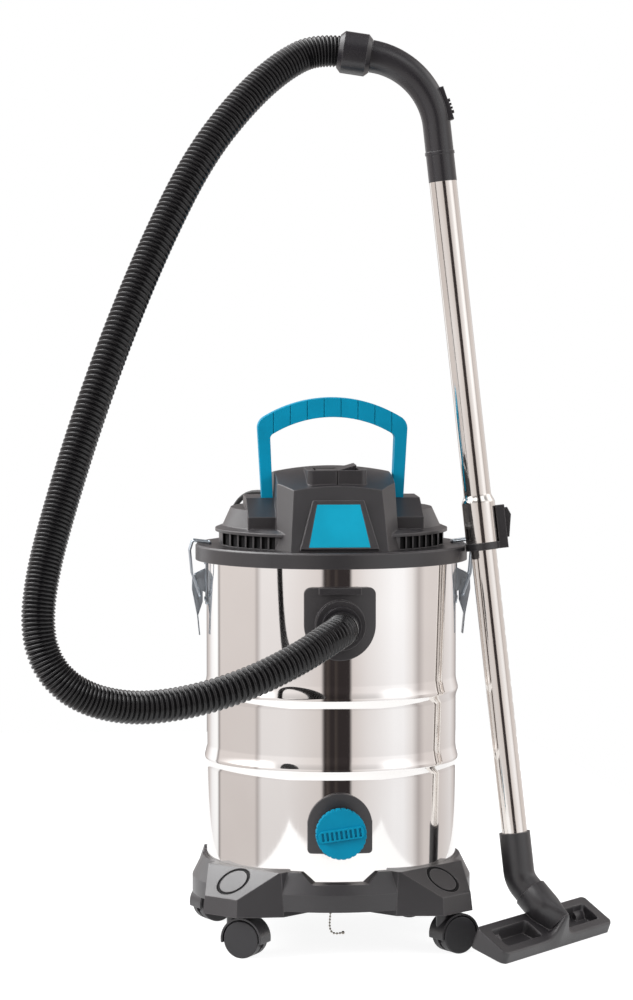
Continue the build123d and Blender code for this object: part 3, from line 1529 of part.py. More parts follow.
roller_centre = (nozzle_depth - roller_inset, roller_radius - roller_proud)
with BuildPart() as nozzle_body:
    # Neck and fairing, pointed towards the front
    with BuildSketch(swivel_plane.offset(seat_gap)):
        Circle(neck_outer_radius)
    extrude(amount=neck_length)
    with BuildSketch(nozzle_plane):
        with BuildLine():
            Polyline(
                (-neck_front_half_width, 2),
                (neck_front_half_width, 2),
                (neck_outer_radius + 1, nozzle_depth * 0.55),
                (neck_outer_radius + 1, 2 * nozzle_depth),
                (-neck_outer_radius - 1, 2 * nozzle_depth),
                (-neck_outer_radius - 1, nozzle_depth * 0.55),
                close=True,
            )
        make_face()
    extrude(amount=nozzle_length, mode=Mode.INTERSECT)
    # Wedge body with clipped ends and two open pockets
    with BuildSketch(nozzle_end_plane):
        with BuildLine():
            Polyline(
                (0, 0),
                (0, nozzle_front_height),
                (nozzle_depth, nozzle_rear_height),
                (nozzle_depth, 0),
                close=True,
            )
        make_face()
    extrude(amount=nozzle_length)
    with BuildSketch(nozzle_plane.offset(nozzle_pocket_floor)):
        for end in (-1, 1):
            with Locations((end * nozzle_pocket_centre_x, nozzle_depth / 2)):
                Rectangle(nozzle_pocket_length, nozzle_pocket_depth)
    extrude(amount=nozzle_rear_height, mode=Mode.SUBTRACT)
    with BuildSketch(nozzle_plane):
        for end in (-1, 1):
            for edge in (0, nozzle_depth):
                with Locations(Location((end * nozzle_length / 2, edge, 0), (0, 0, 45))):
                    Rectangle(nozzle_corner, nozzle_corner)
    extrude(amount=2 * nozzle_rear_height, mode=Mode.SUBTRACT)
    # Airway: swivel bore, duct and the mouth in the sole
    with BuildSketch(swivel_plane):
        Circle(swivel_spigot_radius + running_gap)
    extrude(amount=swivel_spigot_length + seat_gap, mode=Mode.SUBTRACT)
    with BuildSketch(swivel_plane):
        Circle(elbow_bore_radius)
    extrude(amount=neck_length * 0.72, mode=Mode.SUBTRACT)
    mouth_centre_y = mouth_inset + mouth_width / 2
    with BuildSketch(nozzle_plane.offset(-1)):
        with Locations((0, mouth_centre_y)):
            Rectangle(mouth_length, mouth_width)
    extrude(amount=mouth_depth + 1, mode=Mode.SUBTRACT)
    with BuildSketch(nozzle_plane):
        with Locations((0, mouth_centre_y)):
            Rectangle(2 * elbow_bore_radius, mouth_width)
    extrude(amount=nozzle_rear_height, mode=Mode.SUBTRACT)
    # Grooves for the lips and wells for the rollers
    with BuildSketch(nozzle_plane):
        for lip_y in (mouth_inset - lip_thickness, mouth_inset + mouth_width + lip_thickness):
            with Locations((0, lip_y)):
                Rectangle(mouth_length, lip_thickness)
    extrude(amount=lip_height - lip_proud, mode=Mode.SUBTRACT)
    with BuildSketch(nozzle_end_plane):
        with Locations(roller_centre):
            Circle(roller_axle_radius + running_gap)
    extrude(amount=nozzle_length / 2 + roller_offset_x + roller_width, mode=Mode.SUBTRACT)
    for end in (-1, 1):
        well_start = nozzle_length / 2 + end * roller_offset_x - roller_width / 2 - 2 * seat_gap
        with BuildSketch(nozzle_end_plane.offset(well_start)):
            with Locations(roller_centre):
                Circle(roller_radius + 2 * seat_gap)
                Rectangle(
                    2 * roller_radius + 4 * seat_gap,
                    2 * roller_radius,
                    align=(Align.CENTER, Align.MAX),
                )
        extrude(amount=roller_width + 4 * seat_gap, mode=Mode.SUBTRACT)
save(nozzle_body, "nozzle_body")

with BuildPart() as nozzle_lips:
    with BuildSketch(nozzle_plane.offset(-lip_proud)):
        for lip_y in (mouth_inset - lip_thickness, mouth_inset + mouth_width + lip_thickness):
            with Locations((0, lip_y)):
                Rectangle(mouth_length - 2 * seat_gap, lip_thickness - seat_gap)
    extrude(amount=lip_height)
save(nozzle_lips, "nozzle_lips")

with BuildPart() as nozzle_rollers:
    axle_start = nozzle_length / 2 - roller_offset_x - roller_width
    with BuildSketch(nozzle_end_plane.offset(axle_start)):
        with Locations(roller_centre):
            Circle(roller_axle_radius)
    extrude(amount=2 * (roller_offset_x + roller_width) - seat_gap)
    for end in (-1, 1):
        with BuildSketch(
            nozzle_end_plane.offset(nozzle_length / 2 + end * roller_offset_x - roller_width / 2)
        ):
            with Locations(roller_centre):
                Circle(roller_radius)
        extrude(amount=roller_width)
save(nozzle_rollers, "nozzle_rollers")

# Mains lead: gland on the cover, the free lead, the put-away coil with its tie, and the plug
with BuildPart() as cord_gland:
    with BuildSketch(gland_plane.offset(2 * seat_gap)):
        Circle(gland_base_radius)
    with BuildSketch(gland_plane.offset(gland_length)):
        Circle(gland_tip_radius)
    loft()
    with BuildSketch(gland_plane.offset(2 * seat_gap)):
        Circle(gland_stub_radius)
    extrude(amount=-gland_stub_length)
save(cord_gland, "cord_gland")

coil_x, coil_y = coil_centre
coil_outer_radius = coil_mean_radius + coil_band / 2
coil_inner_radius = coil_mean_radius - coil_band / 2
tail_reach = coil_outer_radius - lead_radius
tail_y = coil_y - coil_tail
tail_in_z = coil_lift + lead_radius
tail_out_z = coil_lift + coil_height / 2
lead_points = [
    gland_plane.origin + gland_plane.z_dir * gland_length,
    gland_plane.origin + gland_plane.z_dir * (gland_length + 16),
    Vector(-112, 143, 597),
    Vector(-124, 153, 583),
    Vector(-132, 162, 560),
    Vector(-136, 171, 523),
    Vector(-134, 178, 481),
    Vector(-129, 185, 434),
    Vector(-122, 191, 379),
    Vector(-113, 196, 322),
    Vector(-103, 199, 264),
    Vector(-91, 200, 206),
    Vector(-77, 201, 148),
    Vector(-63, 201, 98),
    Vector(-54, 200, 66),
    Vector(-50, 200, 38),
    Vector(coil_x - tail_reach, 206, 22.8),
    Vector(coil_x - tail_reach, 217.5, 11.5),
    Vector(coil_x - tail_reach, 232, tail_in_z),
    Vector(coil_x - tail_reach, tail_y, tail_in_z),
]
with BuildPart() as mains_lead:
    with BuildLine() as lead_path:
        FilletPolyline(*lead_points, radius=bend_radii(lead_points))
    with BuildSketch(Plane(origin=lead_path.wire() @ 0, z_dir=lead_path.wire() % 0)):
        Circle(lead_radius)
    sweep(path=lead_path.wire())
save(mains_lead, "mains_lead")

with BuildPart() as mains_coil:
    with BuildSketch(Plane.XZ):
        with Locations((coil_mean_radius, coil_lift + coil_height / 2)):
            RectangleRounded(coil_band, coil_height, lead_radius)
    revolve(axis=Axis.Z)
    for tail_x, tail_z in ((-tail_reach, tail_in_z), (tail_reach, tail_out_z)):
        with BuildSketch(Plane.XZ):
            with Locations((tail_x, tail_z)):
                Circle(lead_radius)
        extrude(amount=coil_tail)
mains_coil.part.position = (coil_x, coil_y, 0)
save(mains_coil, "mains_coil")

with BuildPart() as cord_tie:
    tie_inner = coil_y + coil_inner_radius - tie_inner_gap
    tie_outer = coil_y + coil_outer_radius + tie_gap
    with BuildSketch(Plane.YZ.offset(coil_x - tie_width / 2)):
        with Locations(((tie_inner + tie_outer) / 2, coil_lift + coil_height / 2)):
            Rectangle(
                tie_outer - tie_inner + 2 * tie_thickness,
                coil_height + 2 * tie_gap + 2 * tie_thickness,
            )
            Rectangle(
                tie_outer - tie_inner, coil_height + 2 * tie_gap, mode=Mode.SUBTRACT
            )
    extrude(amount=tie_width)
save(cord_tie, "cord_tie")

with BuildPart() as mains_plug:
    with BuildSketch(Plane.XZ.offset(-tail_y)):
        with Locations((coil_x + tail_reach, tail_out_z)):
            Circle(plug_relief_radius)
    extrude(amount=plug_relief_length)
    with BuildSketch(Plane.XZ.offset(-tail_y + plug_relief_length)):
        with Locations((coil_x + tail_reach, tail_out_z)):
            Circle(plug_radius)
    extrude(amount=plug_length)
    with BuildSketch(Plane.XZ.offset(-tail_y + plug_relief_length + plug_length)):
        with Locations((coil_x + tail_reach, tail_out_z)):
            with GridLocations(plug_pin_pitch, 0, 2, 1):
                Circle(plug_pin_radius)
    extrude(amount=plug_pin_length)
save(mains_plug, "mains_plug")
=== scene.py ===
"""Looks of a wet and dry shop vacuum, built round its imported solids.

Lengths are metres. +Z is up, the origin is on the floor under the drum's axis and the
vacuum's front faces -Y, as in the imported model.
"""
import logging
import math
from dataclasses import dataclass
from enum import Enum

import bmesh
import bpy
import numpy as np
from mathutils import Matrix, Vector


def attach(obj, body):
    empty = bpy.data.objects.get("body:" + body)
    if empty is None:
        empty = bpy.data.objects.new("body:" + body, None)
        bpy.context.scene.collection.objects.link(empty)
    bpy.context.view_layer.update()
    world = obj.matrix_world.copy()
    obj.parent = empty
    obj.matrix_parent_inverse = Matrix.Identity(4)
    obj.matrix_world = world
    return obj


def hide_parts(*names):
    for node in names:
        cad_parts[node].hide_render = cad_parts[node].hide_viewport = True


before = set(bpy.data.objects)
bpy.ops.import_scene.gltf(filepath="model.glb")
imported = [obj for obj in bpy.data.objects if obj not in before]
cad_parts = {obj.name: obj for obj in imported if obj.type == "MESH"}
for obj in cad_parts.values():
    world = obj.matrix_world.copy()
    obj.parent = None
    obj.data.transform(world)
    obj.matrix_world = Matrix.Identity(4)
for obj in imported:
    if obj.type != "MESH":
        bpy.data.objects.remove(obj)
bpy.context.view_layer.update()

log = logging.getLogger("shop_vacuum")

Point = tuple[float, float, float]
Colour = tuple[float, float, float, float]
Profile = list[tuple[float, float]]
Shape = tuple[list[Vector], list[tuple[int, ...]]]
Socket = bpy.types.NodeSocket
ROOT_BODY = "cleaner"
MERGE_DISTANCE = 1e-6
SLIVER_LENGTH = 1e-7
CURVE_STEPS = 12
EDGE_SAMPLES = 4
EDGE_COSINES = (0.86, 0.995)  # of the turn at a sharp edge and on a flat
CORNER_SHARE = 0.45  # most of a side that one corner's rounding takes
WHITE: Colour = (1.0, 1.0, 1.0, 1.0)


def linear(code: str) -> Colour:
    """Turn a hex sRGB code such as "#413f42" into a linear colour.

    Args:
        code: the code.

    Returns:
        The colour, with an alpha of 1.
    """
    shades = [int(code[k : k + 2], 16) / 255 for k in (1, 3, 5)]
    red, green, blue = (s / 12.92 if s <= 0.04045 else ((s + 0.055) / 1.055) ** 2.4 for s in shades)
    return (red, green, blue, 1.0)


class NodeTree:
    """A node tree, with short calls that add and join its nodes."""

    def __init__(self, tree: bpy.types.NodeTree) -> None:
        """Take the tree that the nodes go into."""
        self.tree = tree

    def node(self, kind: str, **settings: object) -> bpy.types.Node:
        """Add a node of that kind and set its own properties.

        Args:
            kind: Blender's type name of the node.
            settings: properties of the node, by name.

        Returns:
            The new node.
        """
        made = self.tree.nodes.new(kind)
        for name, value in settings.items():
            setattr(made, name, value)
        return made

    def link(self, source: Socket, target: Socket) -> None:
        """Join an output to an input."""
        self.tree.links.new(source, target)

    def maths(self, operation: str, *values: Socket | float) -> Socket:
        """Add a Math node.

        Args:
            operation: Blender's name of the operation.
            values: the sockets and plain numbers that it works on.

        Returns:
            The result.
        """
        made = self.node("ShaderNodeMath", operation=operation)
        for value, target in zip(values, made.inputs):
            if isinstance(value, Socket):
                self.link(value, target)
            else:
                target.default_value = value
        return made.outputs["Value"]

    def ranged(
        self,
        source: Socket,
        low: float,
        high: float,
        start: float = 0.3,
        end: float = 0.7,
        kind: str = "LINEAR",
    ) -> Socket:
        """Map a value onto another range.

        Args:
            source: the value.
            low: result at start.
            high: result at end.
            start: value that gives low.
            end: value that gives high.
            kind: how it runs between them.

        Returns:
            The mapped value, clamped.
        """
        made = self.node("ShaderNodeMapRange", interpolation_type=kind)
        self.link(source, made.inputs["Value"])
        for name, value in (("From Min", start), ("From Max", end), ("To Min", low), ("To Max", high)):
            made.inputs[name].default_value = value
        return made.outputs["Result"]

    def tint(self, factor: Socket, first: Socket | Colour, second: Socket | Colour) -> Socket:
        """Mix two colours.

        Args:
            factor: the second one's share, from 0 to 1.
            first: a colour or a socket.
            second: a colour or a socket.

        Returns:
            The mixed colour.
        """
        made = self.node("ShaderNodeMix", data_type="RGBA")
        self.link(factor, made.inputs["Factor"])
        for value, name in ((first, "A"), (second, "B")):
            if isinstance(value, Socket):
                self.link(value, made.inputs[name])
            else:
                made.inputs[name].default_value = value
        return made.outputs["Result"]


class Shader(NodeTree):
    """A material's node tree, with one Principled surface and object coordinates."""

    def __init__(self, name: str) -> None:
        """Start a material.

        Args:
            name: its name.
        """
        self.material = bpy.data.materials.new(name)
        self.material.use_nodes = True
        super().__init__(self.material.node_tree)
        self.surface = self.tree.nodes["Principled BSDF"]
        self.place = self.node("ShaderNodeTexCoord").outputs["Object"]

    def plain(self, name: str, value: float | Colour) -> None:
        """Give one of the surface's inputs a plain value."""
        self.surface.inputs[name].default_value = value

    def feed(self, name: str, source: Socket) -> None:
        """Link a value to one of the surface's inputs."""
        self.link(source, self.surface.inputs[name])

    def noise(self, scale: float, detail: float = 2.0, stretch: Point = (1, 1, 1)) -> Socket:
        """Noise in object space.

        Args:
            scale: features per metre.
            detail: octaves of finer noise.
            stretch: factors on the three coordinates, small along a streak.

        Returns:
            The noise value, about 0.3 to 0.7.
        """
        mapping = self.node("ShaderNodeMapping")
        mapping.inputs["Scale"].default_value = stretch
        self.link(self.place, mapping.inputs["Vector"])
        texture = self.node("ShaderNodeTexNoise")
        texture.inputs["Scale"].default_value = scale
        texture.inputs["Detail"].default_value = detail
        self.link(mapping.outputs["Vector"], texture.inputs["Vector"])
        return texture.outputs["Fac"]

    def edges(self, radius: float) -> tuple[Socket, Socket]:
        """Soft edges of that radius.

        Args:
            radius: the edge's rounding.

        Returns:
            The softened normal, and how much an edge turns it, from 0 on a flat to 1.
        """
        bevel = self.node("ShaderNodeBevel", samples=EDGE_SAMPLES)
        bevel.inputs["Radius"].default_value = radius
        true_normal = self.node("ShaderNodeNewGeometry").outputs["Normal"]
        turn = self.node("ShaderNodeVectorMath", operation="DOT_PRODUCT")
        self.link(bevel.outputs["Normal"], turn.inputs[0])
        self.link(true_normal, turn.inputs[1])
        return bevel.outputs["Normal"], self.ranged(turn.outputs["Value"], 1.0, 0.0, *EDGE_COSINES)

    def bump(self, height: Socket, depth: float, normal: Socket | None = None) -> Socket:
        """A bumped normal.

        Args:
            height: the relief, from 0 to 1.
            depth: its depth in metres.
            normal: the normal that it is laid over, or none for the mesh's own.

        Returns:
            The normal.
        """
        made = self.node("ShaderNodeBump")
        made.inputs["Distance"].default_value = depth
        self.link(height, made.inputs["Height"])
        if normal is not None:
            self.link(normal, made.inputs["Normal"])
        return made.outputs["Normal"]


@dataclass(frozen=True)
class Moulded:
    """Moulded plastic or rubber: spark-eroded grain, faint mottling and soft edges painted lighter, partly
    as rubbed wear and partly as a painted highlight.
    """

    name: str
    colour: str
    # Lighter colour painted on the edges: partly rubbed wear, partly a painted highlight.
    rubbed_and_lit: str
    roughness: float = 0.5
    grain: float = 1500.0
    grain_depth: float = 0.00012
    edge_radius: float = 0.0008
    gloss: float = 0.5
    mottle: float = 23.0
    mottle_shade: float = 0.86
    patches: float = 9.0
    shinier: float = 0.05
    duller: float = 0.06

    def material(self) -> bpy.types.Material:
        """Mix the plastic.

        Returns:
            The material.
        """
        shader = Shader(self.name)
        shader.plain("Specular IOR Level", self.gloss)
        base, rubbed_and_lit = linear(self.colour), linear(self.rubbed_and_lit)
        shade = tuple(c * self.mottle_shade for c in base[:3]) + (1.0,)
        normal, edge = shader.edges(self.edge_radius)
        mottle = shader.tint(shader.ranged(shader.noise(self.mottle, 4.0), 0.0, 1.0), shade, base)
        # Edges get the lighter colour: partly rubbed wear, partly a painted highlight where edges catch the
        # light.
        shader.feed("Base Color", shader.tint(edge, mottle, rubbed_and_lit))
        grain = shader.noise(self.grain)
        patches = shader.noise(self.patches, 3.0)
        rough = shader.ranged(patches, self.roughness - self.shinier, self.roughness + self.duller)
        shader.feed("Roughness", rough)
        shader.feed("Normal", shader.bump(grain, self.grain_depth, normal))
        return shader.material


@dataclass(frozen=True)
class Metal:
    """Bare or plated metal: faint waves, fine polishing streaks and uneven gloss."""

    name: str
    colour: str
    dull: str
    roughness: float
    streak: Point = (1, 1, 1)
    streak_scale: float = 300.0
    streak_depth: float = 0.00002
    wave_depth: float = 0.0
    edge_radius: float = 0.0004
    cloud: float = 7.0
    shinier: float = 0.8
    duller: float = 1.25
    wave: float = 5.0
    wave_stretch: Point = (1.0, 1.0, 0.35)

    def material(self) -> bpy.types.Material:
        """Roll and polish the metal.

        Returns:
            The material.
        """
        shader = Shader(self.name)
        shader.plain("Metallic", 1.0)
        normal, _ = shader.edges(self.edge_radius)
        streaks = shader.noise(self.streak_scale, 3.0, self.streak)
        cloud = shader.ranged(shader.noise(self.cloud, 3.0), 0.0, 1.0)
        shader.feed("Base Color", shader.tint(cloud, linear(self.dull), linear(self.colour)))
        rough = shader.ranged(streaks, self.roughness * self.shinier, self.roughness * self.duller)
        shader.feed("Roughness", rough)
        relief = shader.bump(streaks, self.streak_depth, normal)
        if self.wave_depth:
            waves = shader.noise(self.wave, 1.0, self.wave_stretch)
            relief = shader.bump(waves, self.wave_depth, relief)
        shader.feed("Normal", relief)
        return shader.material


@dataclass(frozen=True)
class Fibrous:
    """Paper, foam or woven strap: crossed fibres with a dry surface."""

    name: str
    colour: str
    shade: str
    scale: float = 900.0
    roughness: float = 0.9
    along: Point = (1.0, 0.15, 1.0)
    across: Point = (0.15, 1.0, 0.4)
    crossing: tuple[float, float] = (0.7, 1.3)
    relief: float = 0.0002

    def material(self) -> bpy.types.Material:
        """Cross the fibres.

        Returns:
            The material.
        """
        shader = Shader(self.name)
        shader.plain("Roughness", self.roughness)
        along = shader.noise(self.scale, 4.0, self.along)
        across = shader.noise(self.scale, 4.0, self.across)
        fibres = shader.ranged(shader.maths("ADD", along, across), 0.0, 1.0, *self.crossing)
        shader.feed("Base Color", shader.tint(fibres, linear(self.shade), linear(self.colour)))
        shader.feed("Normal", shader.bump(fibres, self.relief))
        return shader.material


class Finish(Enum):
    """The finishes of the vacuum's pieces."""

    DRUM_STEEL = Metal(
        "drum_steel", "#fbf9f7", "#f6f3f1", 0.05, (1.0, 1.0, 0.02), 260.0, 0.000004, 0.00035
    )
    TUBE_STEEL = Metal("tube_steel", "#f0ece8", "#e6e1dc", 0.11, (1.0, 1.0, 0.015), 420.0, 0.00001)
    NICKEL = Metal("nickel", "#cfc9bf", "#a59f96", 0.25)
    MOTOR_METAL = Metal("motor_metal", "#b4b6ba", "#9a9ca0", 0.4)
    ZINC = Metal("zinc_plate", "#cbd3da", "#b3bdc7", 0.36, (1.0, 1.0, 0.2), 500.0, 0.000008)
    # A Moulded finish's second colour is painted on its edges: partly rubbed wear, partly a painted
    # highlight.
    CHARCOAL = Moulded("charcoal_plastic", "#2f2d2f", "#5b5758", 0.34, edge_radius=0.002, gloss=0.75)
    CHARCOAL_SMOOTH = Moulded("charcoal_smooth", "#262427", "#4a4749", 0.28, 2200.0, 0.00005, 0.0015, 0.7)
    TEAL = Moulded("teal_plastic", "#008eb3", "#12a3c4", 0.45, 1700.0, 0.00006, 0.0012, 0.15)
    TEAL_PANEL = Moulded("teal_panel", "#0ba0c0", "#35b4d0", 0.35, 2600.0, 0.00002, 0.0004, 0.2)
    HOSE = Moulded("hose_black", "#111012", "#19181a", 0.2, 900.0, 0.00002, 0.0004, 0.45)
    WHEEL = Moulded("wheel_black", "#2e2d2f", "#4c4a4c", 0.42, 1300.0, 0.0001, 0.0012)
    RUBBER = Moulded("black_rubber", "#151516", "#222223", 0.7, 1100.0, 0.00015, 0.0006, 0.25)
    SHEATH = Moulded("lead_black", "#1b1b1c", "#2a2a2b", 0.42, 1400.0, 0.00005, 0.0003)
    BLACK_PLASTIC = Moulded("black_plastic", "#222123", "#434144", 0.38, 1600.0, 0.00008)
    PALE_PLASTIC = Moulded("pale_plastic", "#d8d6cf", "#e8e6e0", 0.5)
    PAPER = Fibrous("filter_paper", "#e9e3d2", "#c9c1ac")
    FOAM = Fibrous("exhaust_foam", "#1d1c1d", "#0b0b0c", 1200.0)
    STRAP = Fibrous("tie_strap", "#2b2b2d", "#161617", 1500.0)


MADE: dict[Finish, bpy.types.Material] = {}


def finish_of(finish: Finish) -> bpy.types.Material:
    """Find a finish's material, or build it on its first use.

    Args:
        finish: the finish.

    Returns:
        The material.
    """
    if finish not in MADE:
        MADE[finish] = finish.value.material()
    return MADE[finish]


def dress(finish: Finish, *nodes: str) -> None:
    """Give solids of the frame a finish.

    Args:
        finish: the finish.
        nodes: names of the solids.
    """
    for name in nodes:
        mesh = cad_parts[name].data
        mesh.materials.clear()
        mesh.materials.append(finish_of(finish))
        log.info("%s: %s", name, finish.name.lower())


def piece(
    name: str,
    shape: Shape,
    finish: Finish,
    body: str = ROOT_BODY,
    stands_for: tuple[str, ...] = (),
    sharp: float = 40.0,
) -> bpy.types.Object:
    """Make a mesh piece, dress it and let it ride on a body.

    Args:
        name: the piece's name.
        shape: its points in the shared frame, and the indices of each face's points.
        finish: its finish.
        body: the body that carries it.
        stands_for: solids that it replaces.
        sharp: edges that turn by more than this many degrees stay sharp.

    Returns:
        The new object.
    """
    vertices, faces = shape
    mesh = bpy.data.meshes.new(name)
    mesh.from_pydata([tuple(v) for v in vertices], [], faces)
    work = bmesh.new()
    work.from_mesh(mesh)
    bmesh.ops.remove_doubles(work, verts=work.verts, dist=MERGE_DISTANCE)
    bmesh.ops.dissolve_degenerate(work, edges=work.edges, dist=SLIVER_LENGTH)
    bmesh.ops.recalc_face_normals(work, faces=work.faces)
    work.to_mesh(mesh)
    work.free()
    mesh.shade_smooth()
    mesh.set_sharp_from_angle(angle=math.radians(sharp))
    mesh.materials.append(finish_of(finish))
    made = bpy.data.objects.new(name, mesh)
    bpy.context.scene.collection.objects.link(made)
    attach(made, body)
    if stands_for:
        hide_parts(*stands_for)
    log.info("%s: %d faces on %s", name, len(mesh.polygons), body)
    return made


def placed(origin: Vector, up: Vector, side: Vector = Vector((1, 0, 0))) -> Matrix:
    """Set up a frame.

    Args:
        origin: its origin.
        up: the way of its Z axis.
        side: its X axis points as near this way as it can.

    Returns:
        The frame.
    """
    z_axis = up.normalized()
    x_axis = (side - z_axis * side.dot(z_axis)).normalized()
    y_axis = z_axis.cross(x_axis)
    turn = Matrix((x_axis, y_axis, z_axis)).transposed().to_4x4()
    return Matrix.Translation(origin) @ turn


def lathe(profile: Profile, place: Matrix, steps: int) -> Shape:
    """Turn a closed profile about the frame's Z axis.

    Args:
        profile: (radius, height) points, in order round the section.
        place: the frame.
        steps: divisions of the turn.

    Returns:
        The points and faces.
    """
    count = len(profile)
    vertices = []
    faces = []
    for step in range(steps):
        angle = 2 * math.pi * step / steps
        across, along = math.cos(angle), math.sin(angle)
        vertices += [place @ Vector((r * across, r * along, h)) for r, h in profile]
        ahead = (step + 1) % steps
        for k in range(count):
            after = (k + 1) % count
            faces.append((step * count + k, ahead * count + k, ahead * count + after, step * count + after))
    return vertices, faces


def softened(corners: Profile, radius: float, steps: int = 5) -> Profile:
    """A closed profile with its corners rounded.

    Args:
        corners: the profile's corners.
        radius: the most that a corner is rounded by.
        steps: divisions of a corner.

    Returns:
        The rounded profile.
    """
    rounded = []
    for before, corner, after in zip(corners[-1:] + corners[:-1], corners, corners[1:] + corners[:1]):
        middle = Vector(corner)
        first, last = Vector(before) - middle, Vector(after) - middle
        cut = min(radius, first.length * CORNER_SHARE, last.length * CORNER_SHARE)
        first, last = middle + first.normalized() * cut, middle + last.normalized() * cut
        for k in range(steps + 1):
            t = k / steps
            mixed = first * (1 - t) ** 2 + middle * 2 * t * (1 - t) + last * t**2
            rounded.append((mixed.x, mixed.y))
    return rounded


def washer(inner: float, outer: float, low: float, high: float, edge: float) -> Profile:
    """A ring's section with soft edges."""
    return softened([(inner, low), (outer, low), (outer, high), (inner, high)], edge)


def eased(value: float, low: float, high: float) -> float:
    """A smooth step that is 0 up to low and 1 from high on."""
    share = min(max((value - low) / (high - low), 0.0), 1.0)
    return share * share * (3.0 - 2.0 * share)


def spline_of(name: str, route: list[Point]) -> bpy.types.Curve:
    """Draw a smooth curve.

    Args:
        name: its name.
        route: its control points.

    Returns:
        The curve.
    """
    curve = bpy.data.curves.new(name, "CURVE")
    curve.dimensions = "3D"
    curve.resolution_u = CURVE_STEPS
    spline = curve.splines.new("NURBS")
    spline.points.add(len(route) - 1)
    for knot, place in zip(spline.points, route):
        knot.co = (*place, 1.0)
    spline.order_u = 3
    spline.use_endpoint_u = True
    return curve


def line_of(curve: bpy.types.Curve) -> np.ndarray:
    """Read a bare curve's line, as Blender draws it.

    Args:
        curve: the curve.

    Returns:
        The line's points.
    """
    holder = bpy.data.objects.new("line_holder", curve)
    mesh = bpy.data.meshes.new_from_object(holder)
    line = np.array([v.co for v in mesh.vertices], float)
    bpy.data.objects.remove(holder)
    bpy.data.meshes.remove(mesh)
    return line


def length_of(line: np.ndarray) -> float:
    """A line's length."""
    return float(np.linalg.norm(np.diff(line, axis=0), axis=1).sum())


def stations(line: np.ndarray, shares: np.ndarray) -> list[Vector]:
    """Points along a line.

    Args:
        line: the line's points.
        shares: how far along each point is, from 0 at the start to 1 at the end.

    Returns:
        The points.
    """
    along = np.concatenate([[0], np.cumsum(np.linalg.norm(np.diff(line, axis=0), axis=1))])
    spaced = np.stack([np.interp(shares * along[-1], along, line[:, k]) for k in range(3)], axis=1)
    return [Vector(p) for p in spaced]


def skin(rings: list[list[Vector]], closed: bool = False) -> Shape:
    """Join rings of equally many points into a skin.

    Args:
        rings: the rings, in order.
        closed: whether the last ring joins the first; otherwise both ends get a flat cap.

    Returns:
        The points and faces.
    """
    sides = len(rings[0])
    vertices = [place for ring in rings for place in ring]
    faces = []
    for k in range(len(rings) if closed else len(rings) - 1):
        ahead = (k + 1) % len(rings)
        for n in range(sides):
            after = (n + 1) % sides
            faces.append((k * sides + n, k * sides + after, ahead * sides + after, ahead * sides + n))
    if not closed:
        last = (len(rings) - 1) * sides
        faces.append(tuple(reversed(range(sides))))
        faces.append(tuple(range(last, last + sides)))
    return vertices, faces


def sweep(line: list[Vector], radii: list[float], sides: int) -> Shape:
    """A round tube along a line, with a radius for each of its points and closed ends.

    Args:
        line: the points.
        radii: the tube's radius at each.
        sides: points round the tube.

    Returns:
        The points and faces.
    """
    rings = []
    side = Vector((0, 0, 1))
    last = len(line) - 1
    for k, middle in enumerate(line):
        way = (line[min(k + 1, last)] - line[max(k - 1, 0)]).normalized()
        side = (side - way * side.dot(way)).normalized()
        other = way.cross(side)
        turns = [2 * math.pi * n / sides for n in range(sides)]
        rings.append([middle + (side * math.cos(t) + other * math.sin(t)) * radii[k] for t in turns])
    return skin(rings)


